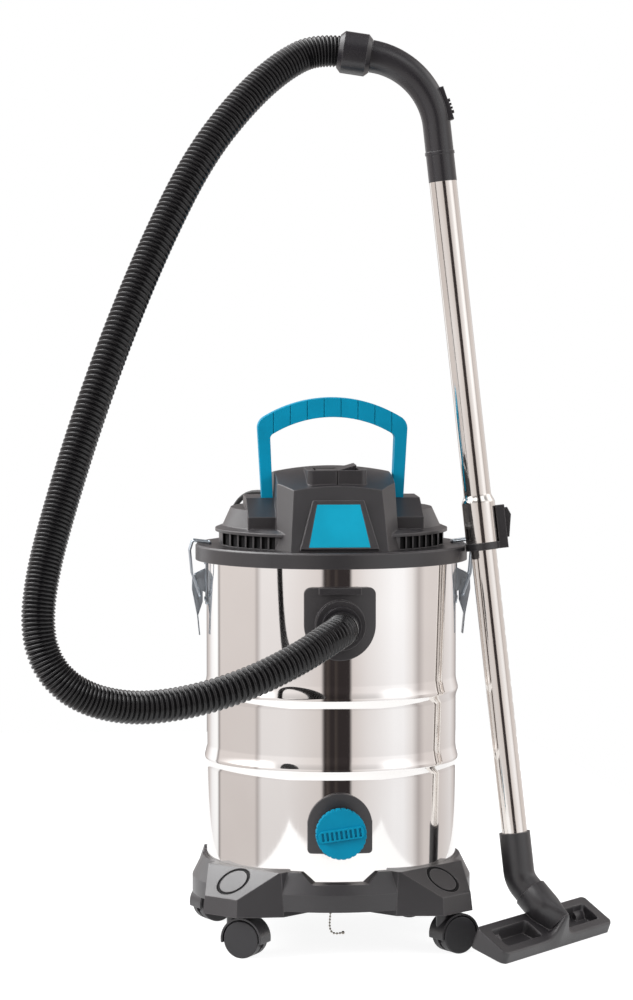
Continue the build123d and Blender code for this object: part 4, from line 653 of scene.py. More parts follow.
@dataclass
class Drum:
    """The polished drum, with two rolled ribs and a turned-out lip under the lid."""

    radius: float = 0.170
    wall: float = 0.0008
    bottom: float = 0.0685
    top: float = 0.534
    lip: float = 0.004
    corner: float = 0.008
    rib_height: float = 0.003
    rib_crests: tuple[float, float] = (0.250, 0.344)
    upper_flank: float = 0.017
    lower_flank: float = 0.012
    crest_half: float = 0.0015
    steps: int = 256
    ring_margin: float = 0.001
    ring_pitch: float = 0.012
    rib_rings: int = 32
    floor_turn: float = 0.006
    corner_cut: float = 0.3
    # Shares of the lip: out from the wall, and down from the top.
    lip_curve: tuple[tuple[float, float], ...] = ((0.3, 0.6), (1.0, 0.2), (1.0, 0.0), (0.0, 0.0))

    def bulge(self, height: float) -> float:
        """How far the ribs push the wall out.

        Args:
            height: place on the wall.

        Returns:
            The push, 0 between the ribs.
        """
        for crest in self.rib_crests:
            above = height - crest - self.crest_half
            below = crest - self.crest_half - height
            if above <= 0 and below <= 0:
                return self.rib_height
            if 0 < above < self.upper_flank:
                return self.rib_height * (1 - math.sin(math.pi / 2 * above / self.upper_flank))
            if 0 < below < self.lower_flank:
                return self.rib_height * (1 - math.sin(math.pi / 2 * below / self.lower_flank))
        return 0.0

    def wall_rings(self, low: float, high: float) -> list[float]:
        """Space the rings of a plain stretch of wall, close to its ends and evenly between.

        Args:
            low: where it starts.
            high: where it ends.

        Returns:
            The rings' heights.
        """
        margin = self.ring_margin
        count = max(2, round((high - low) / self.ring_pitch))
        return [low + margin + (high - low - 2 * margin) * k / count for k in range(count + 1)]

    def build(self) -> None:
        """Turn the drum as one fine skin with a wall."""
        heights = [self.bottom + self.corner]
        for crest in self.rib_crests:
            low = crest - self.crest_half - self.lower_flank
            high = crest + self.crest_half + self.upper_flank
            heights += self.wall_rings(heights[-1], low)
            heights += [low + (high - low) * k / self.rib_rings for k in range(self.rib_rings + 1)]
        heights += self.wall_rings(heights[-1], self.top - self.lip)
        heights.append(self.top - self.lip)
        outer = [(self.radius + self.bulge(h), h) for h in heights]
        inner = [(r - self.wall, h) for r, h in reversed(outer)]
        lip = [(self.radius + self.lip * out, self.top - self.lip * down) for out, down in self.lip_curve]
        cut = self.corner * self.corner_cut
        floor = [
            (self.radius - self.wall - self.floor_turn, self.bottom + self.wall),
            (0.0, self.bottom + self.wall),
            (0.0, self.bottom),
            (self.radius - self.corner, self.bottom),
            (self.radius - cut, self.bottom + cut),
        ]
        shape = lathe(outer + lip + inner + floor, Matrix.Identity(4), self.steps)
        piece("drum_shell", shape, Finish.DRUM_STEEL, stands_for=("drum",))


@dataclass
class Dolly:
    """The base on its casters, with rubber rings in its feet and the earth chain under it."""

    bead: float = 0.0016
    end_bead: float = 0.0024
    bead_pitch: float = 0.0044
    link: float = 0.0005
    bead_segments: int = 14
    bead_rows: int = 9
    link_segments: int = 8
    chain: tuple[Point, ...] = (
        (0.0, 0.0, 0.0645),
        (0.0, 0.0, 0.040),
        (-0.0016, 0.0, 0.024),
        (-0.0022, 0.0002, 0.011),
        (0.0008, 0.0006, 0.0036),
        (0.0062, 0.0014, 0.0019),
        (0.0120, 0.0022, 0.0022),
        (0.0166, 0.0026, 0.0030),
    )
    corners: tuple[str, ...] = ("front_left", "front_right", "rear_left", "rear_right")
    foot_slope: float = 37.45
    foot_ring_reach: float = 0.198
    foot_ring_z: float = 0.0997
    foot_ring_radii: tuple[float, float] = (0.0201, 0.0244)
    foot_ring_heights: tuple[float, float] = (-0.0034, -0.0012)
    foot_ring_edge: float = 0.0012
    foot_ring_steps: int = 72

    def beads(self) -> list[Vector]:
        """Middles of the chain's beads, from the base down and along the floor."""
        line = line_of(spline_of("chain_line", list(self.chain)))
        return stations(line, np.linspace(0, 1, round(length_of(line) / self.bead_pitch) + 1))

    def thread_chain(self) -> None:
        """Thread round beads on short wires."""
        work = bmesh.new()
        beads = self.beads()
        for middle in beads:
            bmesh.ops.create_uvsphere(
                work,
                u_segments=self.bead_segments,
                v_segments=self.bead_rows,
                radius=self.end_bead if middle is beads[-1] else self.bead,
                matrix=Matrix.Translation(middle),
            )
        for start, end in zip(beads, beads[1:]):
            way = end - start
            bmesh.ops.create_cone(
                work,
                cap_ends=True,
                segments=self.link_segments,
                radius1=self.link,
                radius2=self.link,
                depth=way.length,
                matrix=placed((start + end) / 2, way, Vector((0, 1, 0))),
            )
        work.verts.index_update()
        vertices = [v.co.copy() for v in work.verts]
        faces = [tuple(v.index for v in f.verts) for f in work.faces]
        work.free()
        piece("bead_chain", (vertices, faces), Finish.NICKEL, stands_for=("earth_chain",))

    def lay_foot_rings(self) -> None:
        """Lay a rubber ring in each foot's groove."""
        tilt = math.radians(self.foot_slope)
        section = washer(*self.foot_ring_radii, *self.foot_ring_heights, self.foot_ring_edge)
        for corner in self.corners:
            ahead = -1 if "front" in corner else 1
            aside = -1 if "left" in corner else 1
            out = Vector((aside, ahead, 0)).normalized()
            up = out * math.sin(tilt) + Vector((0, 0, math.cos(tilt)))
            place = placed(out * self.foot_ring_reach + Vector((0, 0, self.foot_ring_z)), up)
            shape = lathe(section, place, self.foot_ring_steps)
            piece(f"foot_ring_{corner}", shape, Finish.RUBBER)

    def build(self) -> None:
        """Make the chain and the feet's rings."""
        self.thread_chain()
        self.lay_foot_rings()

    def dress(self) -> None:
        """Finish the base, its screws and the casters."""
        dress(Finish.CHARCOAL, "base")
        dress(Finish.ZINC, "base_screws")
        dress(Finish.CHARCOAL_SMOOTH, *(f"caster_housing_{c}" for c in self.corners))
        dress(Finish.WHEEL, *(f"caster_wheels_{c}" for c in self.corners))


@dataclass
class Head:
    """Lid with its seal and foam, motor cover, switch, front panel and carry handle."""

    seal_radii: tuple[float, float] = (0.166, 0.174)
    seal_heights: tuple[float, float] = (0.534, 0.537)
    seal_edge: float = 0.0012
    foam_radii: tuple[float, float] = (0.1440, 0.1492)
    foam_heights: tuple[float, float] = (0.5404, 0.5575)
    foam_edge: float = 0.001
    steps: int = 144

    def build(self) -> None:
        """Mould the seal between the drum's lip and the lid, and the foam behind the vents."""
        seal = washer(*self.seal_radii, *self.seal_heights, self.seal_edge)
        foam = washer(*self.foam_radii, *self.foam_heights, self.foam_edge)
        upright = Matrix.Identity(4)
        shape = lathe(seal, upright, self.steps)
        piece("seal_ring", shape, Finish.RUBBER, stands_for=("lid_seal",))
        piece("exhaust_foam", lathe(foam, upright, self.steps), Finish.FOAM)

    def dress(self) -> None:
        """Finish the head's pieces."""
        dress(Finish.CHARCOAL, "lid", "motor_cover")
        dress(Finish.CHARCOAL_SMOOTH, "rocker_switch")
        dress(Finish.TEAL, "carry_handle")
        dress(Finish.TEAL_PANEL, "front_panel")


@dataclass
class Inside:
    """Motor, fan and filter under the lid."""

    cartridge_outer: float = 0.0798
    cartridge_inner: float = 0.0606
    cartridge_bottom: float = 0.4297
    cartridge_top: float = 0.5337
    cap: float = 0.006
    cap_edge: float = 0.0015
    cap_steps: int = 96
    paper: float = 0.0009
    paper_gap: float = 0.0006
    paper_seat: float = 0.0004
    paper_inset: float = 0.001
    pleats: int = 54
    fold_points: int = 10
    fold_softness: float = 0.3
    fold_angle: float = 50.0

    def fold(self, turn: float) -> float:
        """How far in the pleated paper lies.

        Args:
            turn: place round the filter, in pleats.

        Returns:
            The share of a pleat's depth, 0 at an outer fold and 1 at an inner one.
        """
        sharp = 1 - abs(1 - 2 * (turn % 1.0))
        soft = 0.5 - 0.5 * math.cos(math.pi * sharp)
        return (1 - self.fold_softness) * sharp + self.fold_softness * soft

    def pleated(self) -> Shape:
        """Pleat the filter's paper.

        Returns:
            The paper's shape.
        """
        outer = self.cartridge_outer - self.paper_gap
        depth = outer - self.cartridge_inner - self.paper - self.paper_seat
        low, high = self.cartridge_bottom + self.paper_inset, self.cartridge_top - self.paper_inset
        count = self.pleats * self.fold_points
        rings = []
        for height, within in ((low, 0.0), (high, 0.0), (high, self.paper), (low, self.paper)):
            ring = []
            for k in range(count):
                angle = 2 * math.pi * k / count
                reach = outer - depth * self.fold(k / self.fold_points) - within
                ring.append(Vector((reach * math.cos(angle), reach * math.sin(angle), height)))
            rings.append(ring)
        return skin(rings, closed=True)

    def build(self) -> None:
        """Set the pleated paper in two end rings."""
        piece(
            "pleated_filter",
            self.pleated(),
            Finish.PAPER,
            stands_for=("filter_cartridge",),
            sharp=self.fold_angle,
        )
        for name, low in (
            ("filter_ring_low", self.cartridge_bottom),
            ("filter_ring_high", self.cartridge_top - self.cap),
        ):
            section = washer(self.cartridge_inner, self.cartridge_outer, low, low + self.cap, self.cap_edge)
            shape = lathe(section, Matrix.Identity(4), self.cap_steps)
            piece(name, shape, Finish.RUBBER)

    def dress(self) -> None:
        """Finish the pieces inside the head and drum."""
        dress(Finish.MOTOR_METAL, "motor", "fan_rotor", "fan_shroud")
        dress(Finish.PALE_PLASTIC, "filter_cage", "float_cup")


@dataclass
class Fittings:
    """Inlet, drain and latches on the drum."""

    sides: tuple[str, str] = ("left", "right")
    gasket_face: Point = (0.0, -0.183, 0.170)
    gasket_inner: float = 0.0227
    gasket_outer: float = 0.027
    gasket_thickness: float = 0.002
    gasket_edge: float = 0.0008
    gasket_steps: int = 72

    def build(self) -> None:
        """Mould the drain's gasket."""
        section = washer(self.gasket_inner, self.gasket_outer, 0.0, self.gasket_thickness, self.gasket_edge)
        place = placed(Vector(self.gasket_face), Vector((0, -1, 0)))
        shape = lathe(section, place, self.gasket_steps)
        piece("gasket_ring", shape, Finish.RUBBER, stands_for=("drain_gasket",))

    def dress(self) -> None:
        """Finish the drum's fittings."""
        dress(Finish.CHARCOAL, "inlet_flange", "drain_flange")
        dress(Finish.CHARCOAL_SMOOTH, "hose_connector")
        dress(Finish.TEAL, "drain_cap")
        for side in self.sides:
            dress(
                Finish.ZINC,
                f"latch_bracket_{side}",
                f"latch_rivets_{side}",
                f"latch_lever_{side}",
                f"latch_bail_{side}",
            )


@dataclass
class Wand:
    """Telescopic tubes with their lock, grip and nozzle."""

    lean_reach: float = 0.2092
    lean_azimuth: float = -15.1
    lean_height: float = 0.540
    direction: Point = (-0.1075, 0.048, 0.9931)
    tube_bottom: float = 0.004
    tube_top: float = 0.494
    tube_radius: float = 0.0185
    tube_wall: float = 0.001
    swage_radius: float = 0.0225
    swage_top: float = 0.057
    swage_cone: float = 0.013
    swage_rings: int = 16
    tube_steps: int = 96
    nozzle_place: Point = (0.298912, -0.112493, 0.0)
    nozzle_azimuth: float = 53.0
    nozzle_pitch: float = 20.0
    lip_rows: tuple[float, float] = (0.0085, 0.0275)
    lip_length: float = 0.2614
    lip_half: float = 0.0011
    lip_top: float = 0.0045
    lip_bottom: float = -0.0015
    # Share of lip_half that is left at the tip, and the height at which it starts to narrow.
    lip_edge: tuple[float, float] = (0.5, 0.0006)
    notch_pitch: float = 0.0109
    notch_width: float = 0.0018
    notch_depth: float = 0.0013
    # Shares of notch_width and notch_depth.
    notch_outline: tuple[tuple[float, float], ...] = ((-0.5, 0.0), (-0.4, 1.0), (0.4, 1.0), (0.5, 0.0))
    nozzle_half: float = 0.145
    nozzle_depth: float = 0.056
    front_height: float = 0.015
    rear_height: float = 0.029
    corner: float = 0.009
    rim: float = 0.0025
    crest: float = 0.035
    crest_reach: float = 0.0145
    crest_power: float = 1.6
    # Behind the front edge, where the crest starts to fade and where it is gone.
    crest_fade: tuple[float, float] = (0.003, 0.018)
    pocket_middle: tuple[float, float] = (0.078, 0.028)
    pocket_half: tuple[float, float] = (0.046, 0.015)
    pocket_corner: float = 0.005
    pocket_floor: float = 0.0075
    # Inside the pocket's outline, where its wall starts and where it reaches the floor.
    pocket_edge: tuple[float, float] = (-0.0008, 0.0016)
    # Half its length, and its front and rear edge.
    mouth: tuple[float, float, float] = (0.131, 0.011, 0.025)
    mouth_height: float = 0.005
    well_middle: Point = (0.112, 0.044, 0.006)
    well_half: float = 0.0097
    well_radius: float = 0.0096
    well_wall: float = 0.0014
    well_rim: float = 0.00001
    well_rows: int = 15
    length_rows: int = 117
    crest_half: float = 0.04
    crest_rows: int = 81
    depth_rows: int = 29
    edge_half: float = 0.0024
    edge_rows: int = 13
    neck_start: tuple[float, float] = (0.06602, 0.05263)
    neck_slope: float = 23.5
    neck_radius: float = 0.0235
    neck_bore: float = 0.0183
    neck_round: float = 0.028
    neck_end: float = 0.0595
    neck_edge: float = 0.009
    neck_bore_depth: float = 0.0125
    neck_face: float = 0.0003
    neck_chamfer: float = 0.0005
    # Down the neck from its start, and in from neck_radius.
    neck_corner: tuple[tuple[float, float], ...] = ((0.0003, 0.0009), (0.0006, 0.0003), (0.0013, 0.0))
    neck_taper_rings: int = 12
    neck_sides: int = 64

    def sole(self) -> Matrix:
        """Find the nozzle's place.

        Returns:
            Its frame: X along it, Y to its rear along the sole and Z up from the sole.
        """
        turn = Matrix.Rotation(math.radians(self.nozzle_azimuth), 4, "Z")
        tilt = Matrix.Rotation(math.radians(self.nozzle_pitch), 4, "X")
        return Matrix.Translation(self.nozzle_place) @ turn @ tilt

    def well(self, along: float, back: float, radius: float) -> float:
        """Arch over a roller.

        Args:
            along: place along the nozzle.
            back: place behind the front edge.
            radius: the arch's radius about the rollers' axle.

        Returns:
            The arch's height over the sole, 0 beside it.
        """
        reach = self.well_half + radius - self.well_radius
        aside = back - self.well_middle[1]
        if abs(abs(along) - self.well_middle[0]) > reach or abs(aside) >= radius:
            return 0.0
        return self.well_middle[2] + math.sqrt(radius**2 - aside**2)

    def nozzle_top(self, along: float, back: float, inset: float) -> float:
        """Shape the nozzle's top: a wedge with a crest at the front and two pockets.

        Args:
            along: place along the nozzle.
            back: place behind the front edge.
            inset: how far the rounded corners have drawn the front and rear edges in.

        Returns:
            The height over the sole.
        """
        top = self.front_height + (self.rear_height - self.front_height) * back / self.nozzle_depth
        crest = self.crest * math.exp(-((abs(along) / self.crest_reach) ** self.crest_power))
        top += crest * (1.0 - eased(back, *self.crest_fade))
        edge = min(back - inset, self.nozzle_depth - inset - back, self.nozzle_half - abs(along))
        if edge < self.rim:
            top -= self.rim - math.sqrt(max(self.rim**2 - (self.rim - edge) ** 2, 0.0))
        across = abs(abs(along) - self.pocket_middle[0]) - self.pocket_half[0] + self.pocket_corner
        deep = abs(back - self.pocket_middle[1]) - self.pocket_half[1] + self.pocket_corner
        outside = math.hypot(max(across, 0.0), max(deep, 0.0)) + min(max(across, deep), 0.0)
        sunk = eased(self.pocket_corner - outside, *self.pocket_edge)
        floor = max(self.pocket_floor, self.well(along, back, self.well_radius + self.well_wall))
        return top + (min(floor, top) - top) * sunk

    def nozzle_rows(self) -> tuple[np.ndarray, np.ndarray]:
        """Space the points of the nozzle's top, closer at the edges of its ends, pockets and wells.

        Returns:
            Places along the nozzle, and places behind its front edge.
        """
        half, depth = self.nozzle_half, self.nozzle_depth
        x_edges, y_edges = [half, -half], [0.0, depth]
        for side in (-1, 1):
            for end in (-1, 1):
                x_edges.append(end * (self.pocket_middle[0] + side * self.pocket_half[0]))
                x_edges.append(end * (self.well_middle[0] + side * self.well_half))
            y_edges.append(self.pocket_middle[1] + side * self.pocket_half[1])
        fine = np.linspace(-self.edge_half, self.edge_half, self.edge_rows)
        alongs = [np.linspace(-half, half, self.length_rows)]
        alongs.append(np.linspace(-self.crest_half, self.crest_half, self.crest_rows))
        alongs += [edge + fine for edge in x_edges]
        backs = [np.linspace(0, depth, self.depth_rows)]
        backs += [edge + fine for edge in y_edges]
        return (
            np.unique(np.clip(np.concatenate(alongs).round(5), -half, half)),
            np.unique(np.clip(np.concatenate(backs).round(5), 0, depth)),
        )

    def nozzle_rings(self) -> list[list[Vector]]:
        """Cut sections through the nozzle's body, with its mouth and roller wells.

        Returns:
            The sections, from end to end.
        """
        alongs, backs = self.nozzle_rows()
        rear_rim = self.well_middle[1] + self.well_radius
        front_rim = self.well_middle[1] - self.well_radius
        inside = np.linspace(rear_rim, front_rim, self.well_rows)[2:-2]
        rear_step = (rear_rim + self.well_rim, rear_rim - self.well_rim)
        front_step = (front_rim + self.well_rim, front_rim - self.well_rim)
        under = np.array([*rear_step, *inside, *front_step])
        mouth_half, mouth_front, mouth_rear = self.mouth
        rings = []
        for along in alongs:
            past = max(abs(along) - self.nozzle_half + self.corner, 0.0)
            inset = self.corner - math.sqrt(self.corner**2 - past**2)
            shrink = 1.0 - 2.0 * inset / self.nozzle_depth
            top = [(back, self.nozzle_top(along, back, inset)) for back in inset + backs * shrink]
            wells = [(back, self.well(along, back, self.well_radius)) for back in inset + under * shrink]
            lift = self.mouth_height if abs(along) < mouth_half else 0.0
            mouth = [(mouth_rear, 0.0), (mouth_rear, lift), (mouth_front, lift), (mouth_front, 0.0)]
            section = [(top[0][0], 0.0), *top, (top[-1][0], 0.0), *wells, *mouth]
            rings.append([Vector((along, back, up)) for back, up in section])
        return rings

    def neck_rings(self) -> list[list[Vector]]:
        """Cut sections through the nozzle's neck, which narrows to an edge at the front.

        Returns:
            The sections, from inside the bore out over its rim and down to the front.
        """
        slope = math.radians(self.neck_slope)
        start = Vector((0.0, *self.neck_start))
        across = Vector((1.0, 0.0, 0.0))
        down = Vector((0.0, -math.cos(slope), -math.sin(slope)))
        up = Vector((0.0, -math.sin(slope), math.cos(slope)))
        full, bore = self.neck_radius, self.neck_bore
        rim = [(self.neck_bore_depth, bore), (self.neck_face + self.neck_chamfer, bore)]
        rim.append((self.neck_face, bore + self.neck_chamfer))
        rim += [(away, full - inset) for away, inset in self.neck_corner]
        rim.append((self.neck_round, full))
        stops = [(away, radius, radius) for away, radius in rim]
        for k in range(1, self.neck_taper_rings + 1):
            share = k / self.neck_taper_rings
            narrow = full + (self.neck_edge - full) * eased(share, 0.0, 1.0)
            stops.append((self.neck_round + (self.neck_end - self.neck_round) * share, narrow, full))
        turns = [2 * math.pi * k / self.neck_sides for k in range(self.neck_sides)]
        rings = []
        for away, wide, tall in stops:
            middle = start + down * away
            rings.append([middle + across * (wide * math.cos(t)) + up * (tall * math.sin(t)) for t in turns])
        return rings

    def draw_tube(self) -> None:
        """Draw the upper tube, with its wide lower end easing into the narrow part."""
        lean = math.radians(self.lean_azimuth)
        foot = Vector((self.lean_reach * math.cos(lean), self.lean_reach * math.sin(lean), self.lean_height))
        outside = [(self.swage_radius, self.tube_bottom)]
        for k in range(self.swage_rings + 1):
            share = k / self.swage_rings
            narrowed = eased(share, 0.0, 1.0) * (self.swage_radius - self.tube_radius)
            outside.append((self.swage_radius - narrowed, self.swage_top + self.swage_cone * share))
        outside.append((self.tube_radius, self.tube_top))
        inside = [(radius - self.tube_wall, height) for radius, height in reversed(outside)]
        shape = lathe(outside + inside, placed(foot, Vector(self.direction)), self.tube_steps)
        piece("upper_wand", shape, Finish.TUBE_STEEL, stands_for=("upper_tube",))

    def mould_nozzle(self) -> None:
        """Mould the nozzle's body and neck as one shell."""
        sole = self.sole()
        vertices, faces = [], []
        for rings in (self.nozzle_rings(), self.neck_rings()):
            more, joined = skin(rings)
            faces += [tuple(len(vertices) + k for k in face) for face in joined]
            vertices += [sole @ place for place in more]
        piece(
            "nozzle_shell",
            (vertices, faces),
            Finish.CHARCOAL,
            body="nozzle",
            stands_for=("nozzle_body",),
        )

    def cut_lips(self) -> None:
        """Cut the two rubber lips under the nozzle into short teeth."""
        sole = self.sole()
        half = self.lip_length / 2
        stops = [(-half, 0.0)]
        teeth = round(self.lip_length / self.notch_pitch)
        for k in range(1, teeth):
            middle = -half + self.lip_length * k / teeth
            for aside, lift in self.notch_outline:
                stops.append((middle + aside * self.notch_width, lift * self.notch_depth))
        stops.append((half, 0.0))
        wide = self.lip_half
        narrow, edge = self.lip_half * self.lip_edge[0], self.lip_edge[1]
        for name, row in zip(("lip_front", "lip_rear"), self.lip_rows):
            rings = []
            for along, lift in stops:
                low = self.lip_bottom + lift
                section = (
                    (row - wide, self.lip_top),
                    (row - wide, low + edge),
                    (row - narrow, low),
                    (row + narrow, low),
                    (row + wide, low + edge),
                    (row + wide, self.lip_top),
                )
                rings.append([sole @ Vector((along, y, z)) for y, z in section])
            piece(
                name,
                skin(rings),
                Finish.RUBBER,
                body="nozzle",
                stands_for=("nozzle_lips",) if name == "lip_front" else (),
            )

    def build(self) -> None:
        """Make the tube, the nozzle and its lips."""
        self.draw_tube()
        self.mould_nozzle()
        self.cut_lips()

    def dress(self) -> None:
        """Finish the wand's pieces."""
        dress(Finish.TUBE_STEEL, "lower_tube")
        # The grip wears the darker smooth finish: its smoothness is its own, its darker tone is painted
        # shade for a grip that faces away from the light.
        dress(Finish.CHARCOAL_SMOOTH, "grip", "hose_collar", "regulator_slider")
        dress(Finish.CHARCOAL, "nozzle_elbow", "tube_sleeve", "lock_button")
        dress(Finish.WHEEL, "nozzle_rollers")


@dataclass
class SuctionHose:
    """The ribbed hose from the inlet round to the grip's collar."""

    crest: float = 0.0215
    depth: float = 0.48
    cuff: float = 0.030
    cuff_radius: float = 0.0222
    # Share of the hose's length, and the ribs' pitch there.
    pitches: tuple[tuple[float, float], ...] = (
        (0.0, 0.0048),
        (0.06, 0.0062),
        (0.14, 0.0082),
        (0.21, 0.0070),
        (0.29, 0.0052),
        (0.42, 0.0053),
        (0.58, 0.0075),
        (0.82, 0.0073),
        (0.95, 0.0052),
        (1.0, 0.0050),
    )
    fullness: float = 0.6
    rings: int = 8
    sides: int = 36
    crease: float = 60.0
    declared: float = 1.52
    route: tuple[Point, ...] = (
        (0.0, -0.206, 0.445),
        (0.0, -0.236, 0.445),
        (-0.018, -0.267, 0.438),
        (-0.058, -0.295, 0.415),
        (-0.125, -0.329, 0.386),
        (-0.200, -0.357, 0.366),
        (-0.274, -0.383, 0.360),
        (-0.338, -0.403, 0.376),
        (-0.380, -0.409, 0.411),
        (-0.397, -0.403, 0.462),
        (-0.390, -0.386, 0.530),
        (-0.368, -0.356, 0.611),
        (-0.333, -0.305, 0.720),
        (-0.290, -0.241, 0.835),
        (-0.240, -0.170, 0.950),
        (-0.183, -0.101, 1.060),
        (-0.124, -0.056, 1.135),
        (-0.068, -0.028, 1.186),
        (-0.0188, -0.0125, 1.2100),
        (0.0206, -0.0153, 1.2040),
    )

    def build(self) -> None:
        """Sweep the ribs along the route's curve, closer where the hose is squeezed."""
        line = line_of(spline_of("hose_line", list(self.route)))
        length = length_of(line)
        places, pitches = zip(*self.pitches)
        starts = [0.0]
        while starts[-1] < 1.0:
            starts.append(starts[-1] + np.interp(starts[-1], places, pitches) / length)
        ribs = len(starts) - 1
        turns = np.arange(ribs * self.rings + 1) / self.rings
        shares = np.interp(turns, np.arange(ribs + 1), np.array(starts) / starts[-1])
        spaced = stations(line, shares)
        radii = []
        for turn, share in zip(turns, shares):
            wave = 0.5 - 0.5 * math.cos(2 * math.pi * turn)
            depth = self.depth * np.interp(share, places, pitches)
            ribbed = self.crest - depth * (1.0 - wave**self.fullness)
            radii.append(self.cuff_radius if share * length < self.cuff else ribbed)
        made = piece(
            "suction_hose",
            sweep(spaced, radii, self.sides),
            Finish.HOSE,
            stands_for=("hose",),
            sharp=self.crease,
        )


@dataclass
class MainsLead:
    """The mains lead from its gland down behind the drum, coiled on the floor, with its plug."""

    radius: float = 0.0035
    declared: float = 5.0
    centre: tuple[float, float] = (0.010, 0.283)
    mean: float = 0.047
    step_out: float = 0.008
    step_up: float = 0.0078
    columns: int = 4
    layers: int = 4
    bottom: float = 0.0053
    turn_points: int = 16
    step_points: int = 3
    end_index: int = 232
    tail: float = 0.033
    # Share of the tail, and the lead's height there.
    tail_bend: tuple[float, float] = (0.6, 0.0160)
    lead_steps: int = 6
    lead_sides: int = 4
    plug_height: float = 0.0173
    plug_steps: int = 48
    relief_radius: float = 0.0050
    relief_growth: float = 0.0002
    relief_start: float = 0.001
    relief_pitch: float = 0.0024
    relief_ribs: int = 5
    relief_bore: float = 0.0048
    # Out from the relief, and along it.
    rib_outline: tuple[tuple[float, float], ...] = (
        (0.0, 0.0),
        (0.0006, 0.0004),
        (0.0006, 0.0014),
        (0.0, 0.0018),
    )
    # Radius, and distance along the plug.
    plug_outline: tuple[tuple[float, float], ...] = (
        (0.0072, 0.0140),
        (0.0110, 0.0158),
        (0.0136, 0.0190),
        (0.0150, 0.0240),
        (0.0154, 0.0300),
        (0.0152, 0.0330),
        (0.0163, 0.0338),
        (0.0165, 0.0350),
        (0.0165, 0.0390),
        (0.0158, 0.0400),
        (0.0, 0.0400),
    )
    pin_spread: float = 0.0095
    pin_seat: float = 0.0396
    pin_steps: int = 20
    # Radius, and distance along the pin.
    pin_outline: tuple[tuple[float, float], ...] = (
        (0.0, 0.0),
        (0.0024, 0.0),
        (0.0024, 0.0170),
        (0.0019, 0.0186),
        (0.0011, 0.0193),
        (0.0, 0.0194),
    )
    tie_reach: tuple[float, float] = (0.3136, 0.3459)
    tie_height: tuple[float, float] = (0.0015, 0.0331)
    tie_thickness: float = 0.0011
    tie_width: float = 0.012
    tie_bend: float = 0.0042
    tie_steps: int = 8
    route: tuple[Point, ...] = (
        (-0.0867, 0.1190, 0.602),
        (-0.0980, 0.1304, 0.602),
        (-0.112, 0.143, 0.597),
        (-0.124, 0.153, 0.583),
        (-0.132, 0.162, 0.560),
        (-0.136, 0.171, 0.523),
        (-0.134, 0.178, 0.481),
        (-0.129, 0.185, 0.434),
        (-0.122, 0.191, 0.379),
        (-0.113, 0.196, 0.322),
        (-0.103, 0.199, 0.264),
        (-0.091, 0.200, 0.206),
        (-0.077, 0.201, 0.148),
        (-0.063, 0.201, 0.098),
        (-0.054, 0.200, 0.066),
        (-0.050, 0.200, 0.038),
        (-0.049, 0.206, 0.0228),
        (-0.049, 0.2175, 0.0115),
        (-0.049, 0.232, 0.0053),
        (-0.049, 0.250, 0.0053),
    )

    def seats(self) -> list[tuple[float, float]]:
        """Seat the coil's turns: the lowest layer inwards, then columns outwards.

        Returns:
            Each turn's radius and height.
        """
        places = [(column, 0) for column in range(self.columns)]
        for column in reversed(range(self.columns)):
            climb = list(range(1, self.layers))
            places += [(column, layer) for layer in (climb if column % 2 else climb[::-1])]
        outermost = self.outermost()
        return [(outermost - self.step_out * c, self.bottom + self.step_up * layer) for c, layer in places]

    def outermost(self) -> float:
        """The outermost turn's radius."""
        return self.mean + self.step_out * (self.columns - 1) / 2

    def winding(self) -> list[Point]:
        """Control points of the coil's turns.

        A turn moves over to its next seat within a few points. Where the way of moving
        changes, it moves that much sooner, so that it clears the turn before.

        Returns:
            The points, from the lead's side round to the plug's.
        """
        seats = self.seats()
        starts = []
        begin = self.turn_points - self.step_points
        for number in range(len(seats) - 1):
            if number:
                ways = [
                    (seats[n + 1][0] - seats[n][0], seats[n + 1][1] - seats[n][1])
                    for n in (number - 1, number)
                ]
                same = math.dist(*ways) < 1e-6
                begin += self.turn_points - (0 if same else self.step_points)
            starts.append(begin)
        outward = 1 / math.cos(math.pi / self.turn_points)
        points = []
        for index in range(self.end_index + 1):
            at = sum(min(max((index - begin) / self.step_points, 0.0), 1.0) for begin in starts)
            number = min(int(at), len(seats) - 2)
            share = at - number
            here, there = seats[number], seats[number + 1]
            reach = (here[0] + (there[0] - here[0]) * share) * outward
            height = here[1] + (there[1] - here[1]) * share
            angle = math.pi - 2 * math.pi * index / self.turn_points
            x, y = self.centre[0] + reach * math.cos(angle), self.centre[1] + reach * math.sin(angle)
            points.append((x, y, height))
        return points

    def build(self) -> None:
        """Lay the lead along its route, round its coil and into the plug."""
        bend, bend_height = self.tail_bend
        out_x = self.centre[0] + self.outermost()
        ending = [
            (out_x, self.centre[1] - self.tail * bend, bend_height),
            (out_x, self.centre[1] - self.tail, self.plug_height),
        ]
        curve = spline_of("mains_lead_line", list(self.route) + self.winding() + ending)
        curve.bevel_depth = self.radius
        curve.bevel_resolution = self.lead_sides
        curve.resolution_u = self.lead_steps
        curve.use_fill_caps = True
        curve.materials.append(finish_of(Finish.SHEATH))
        made = bpy.data.objects.new("lead", curve)
        bpy.context.scene.collection.objects.link(made)
        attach(made, ROOT_BODY)
        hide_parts("mains_lead", "mains_coil")
        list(self.plug())
        self.tie()

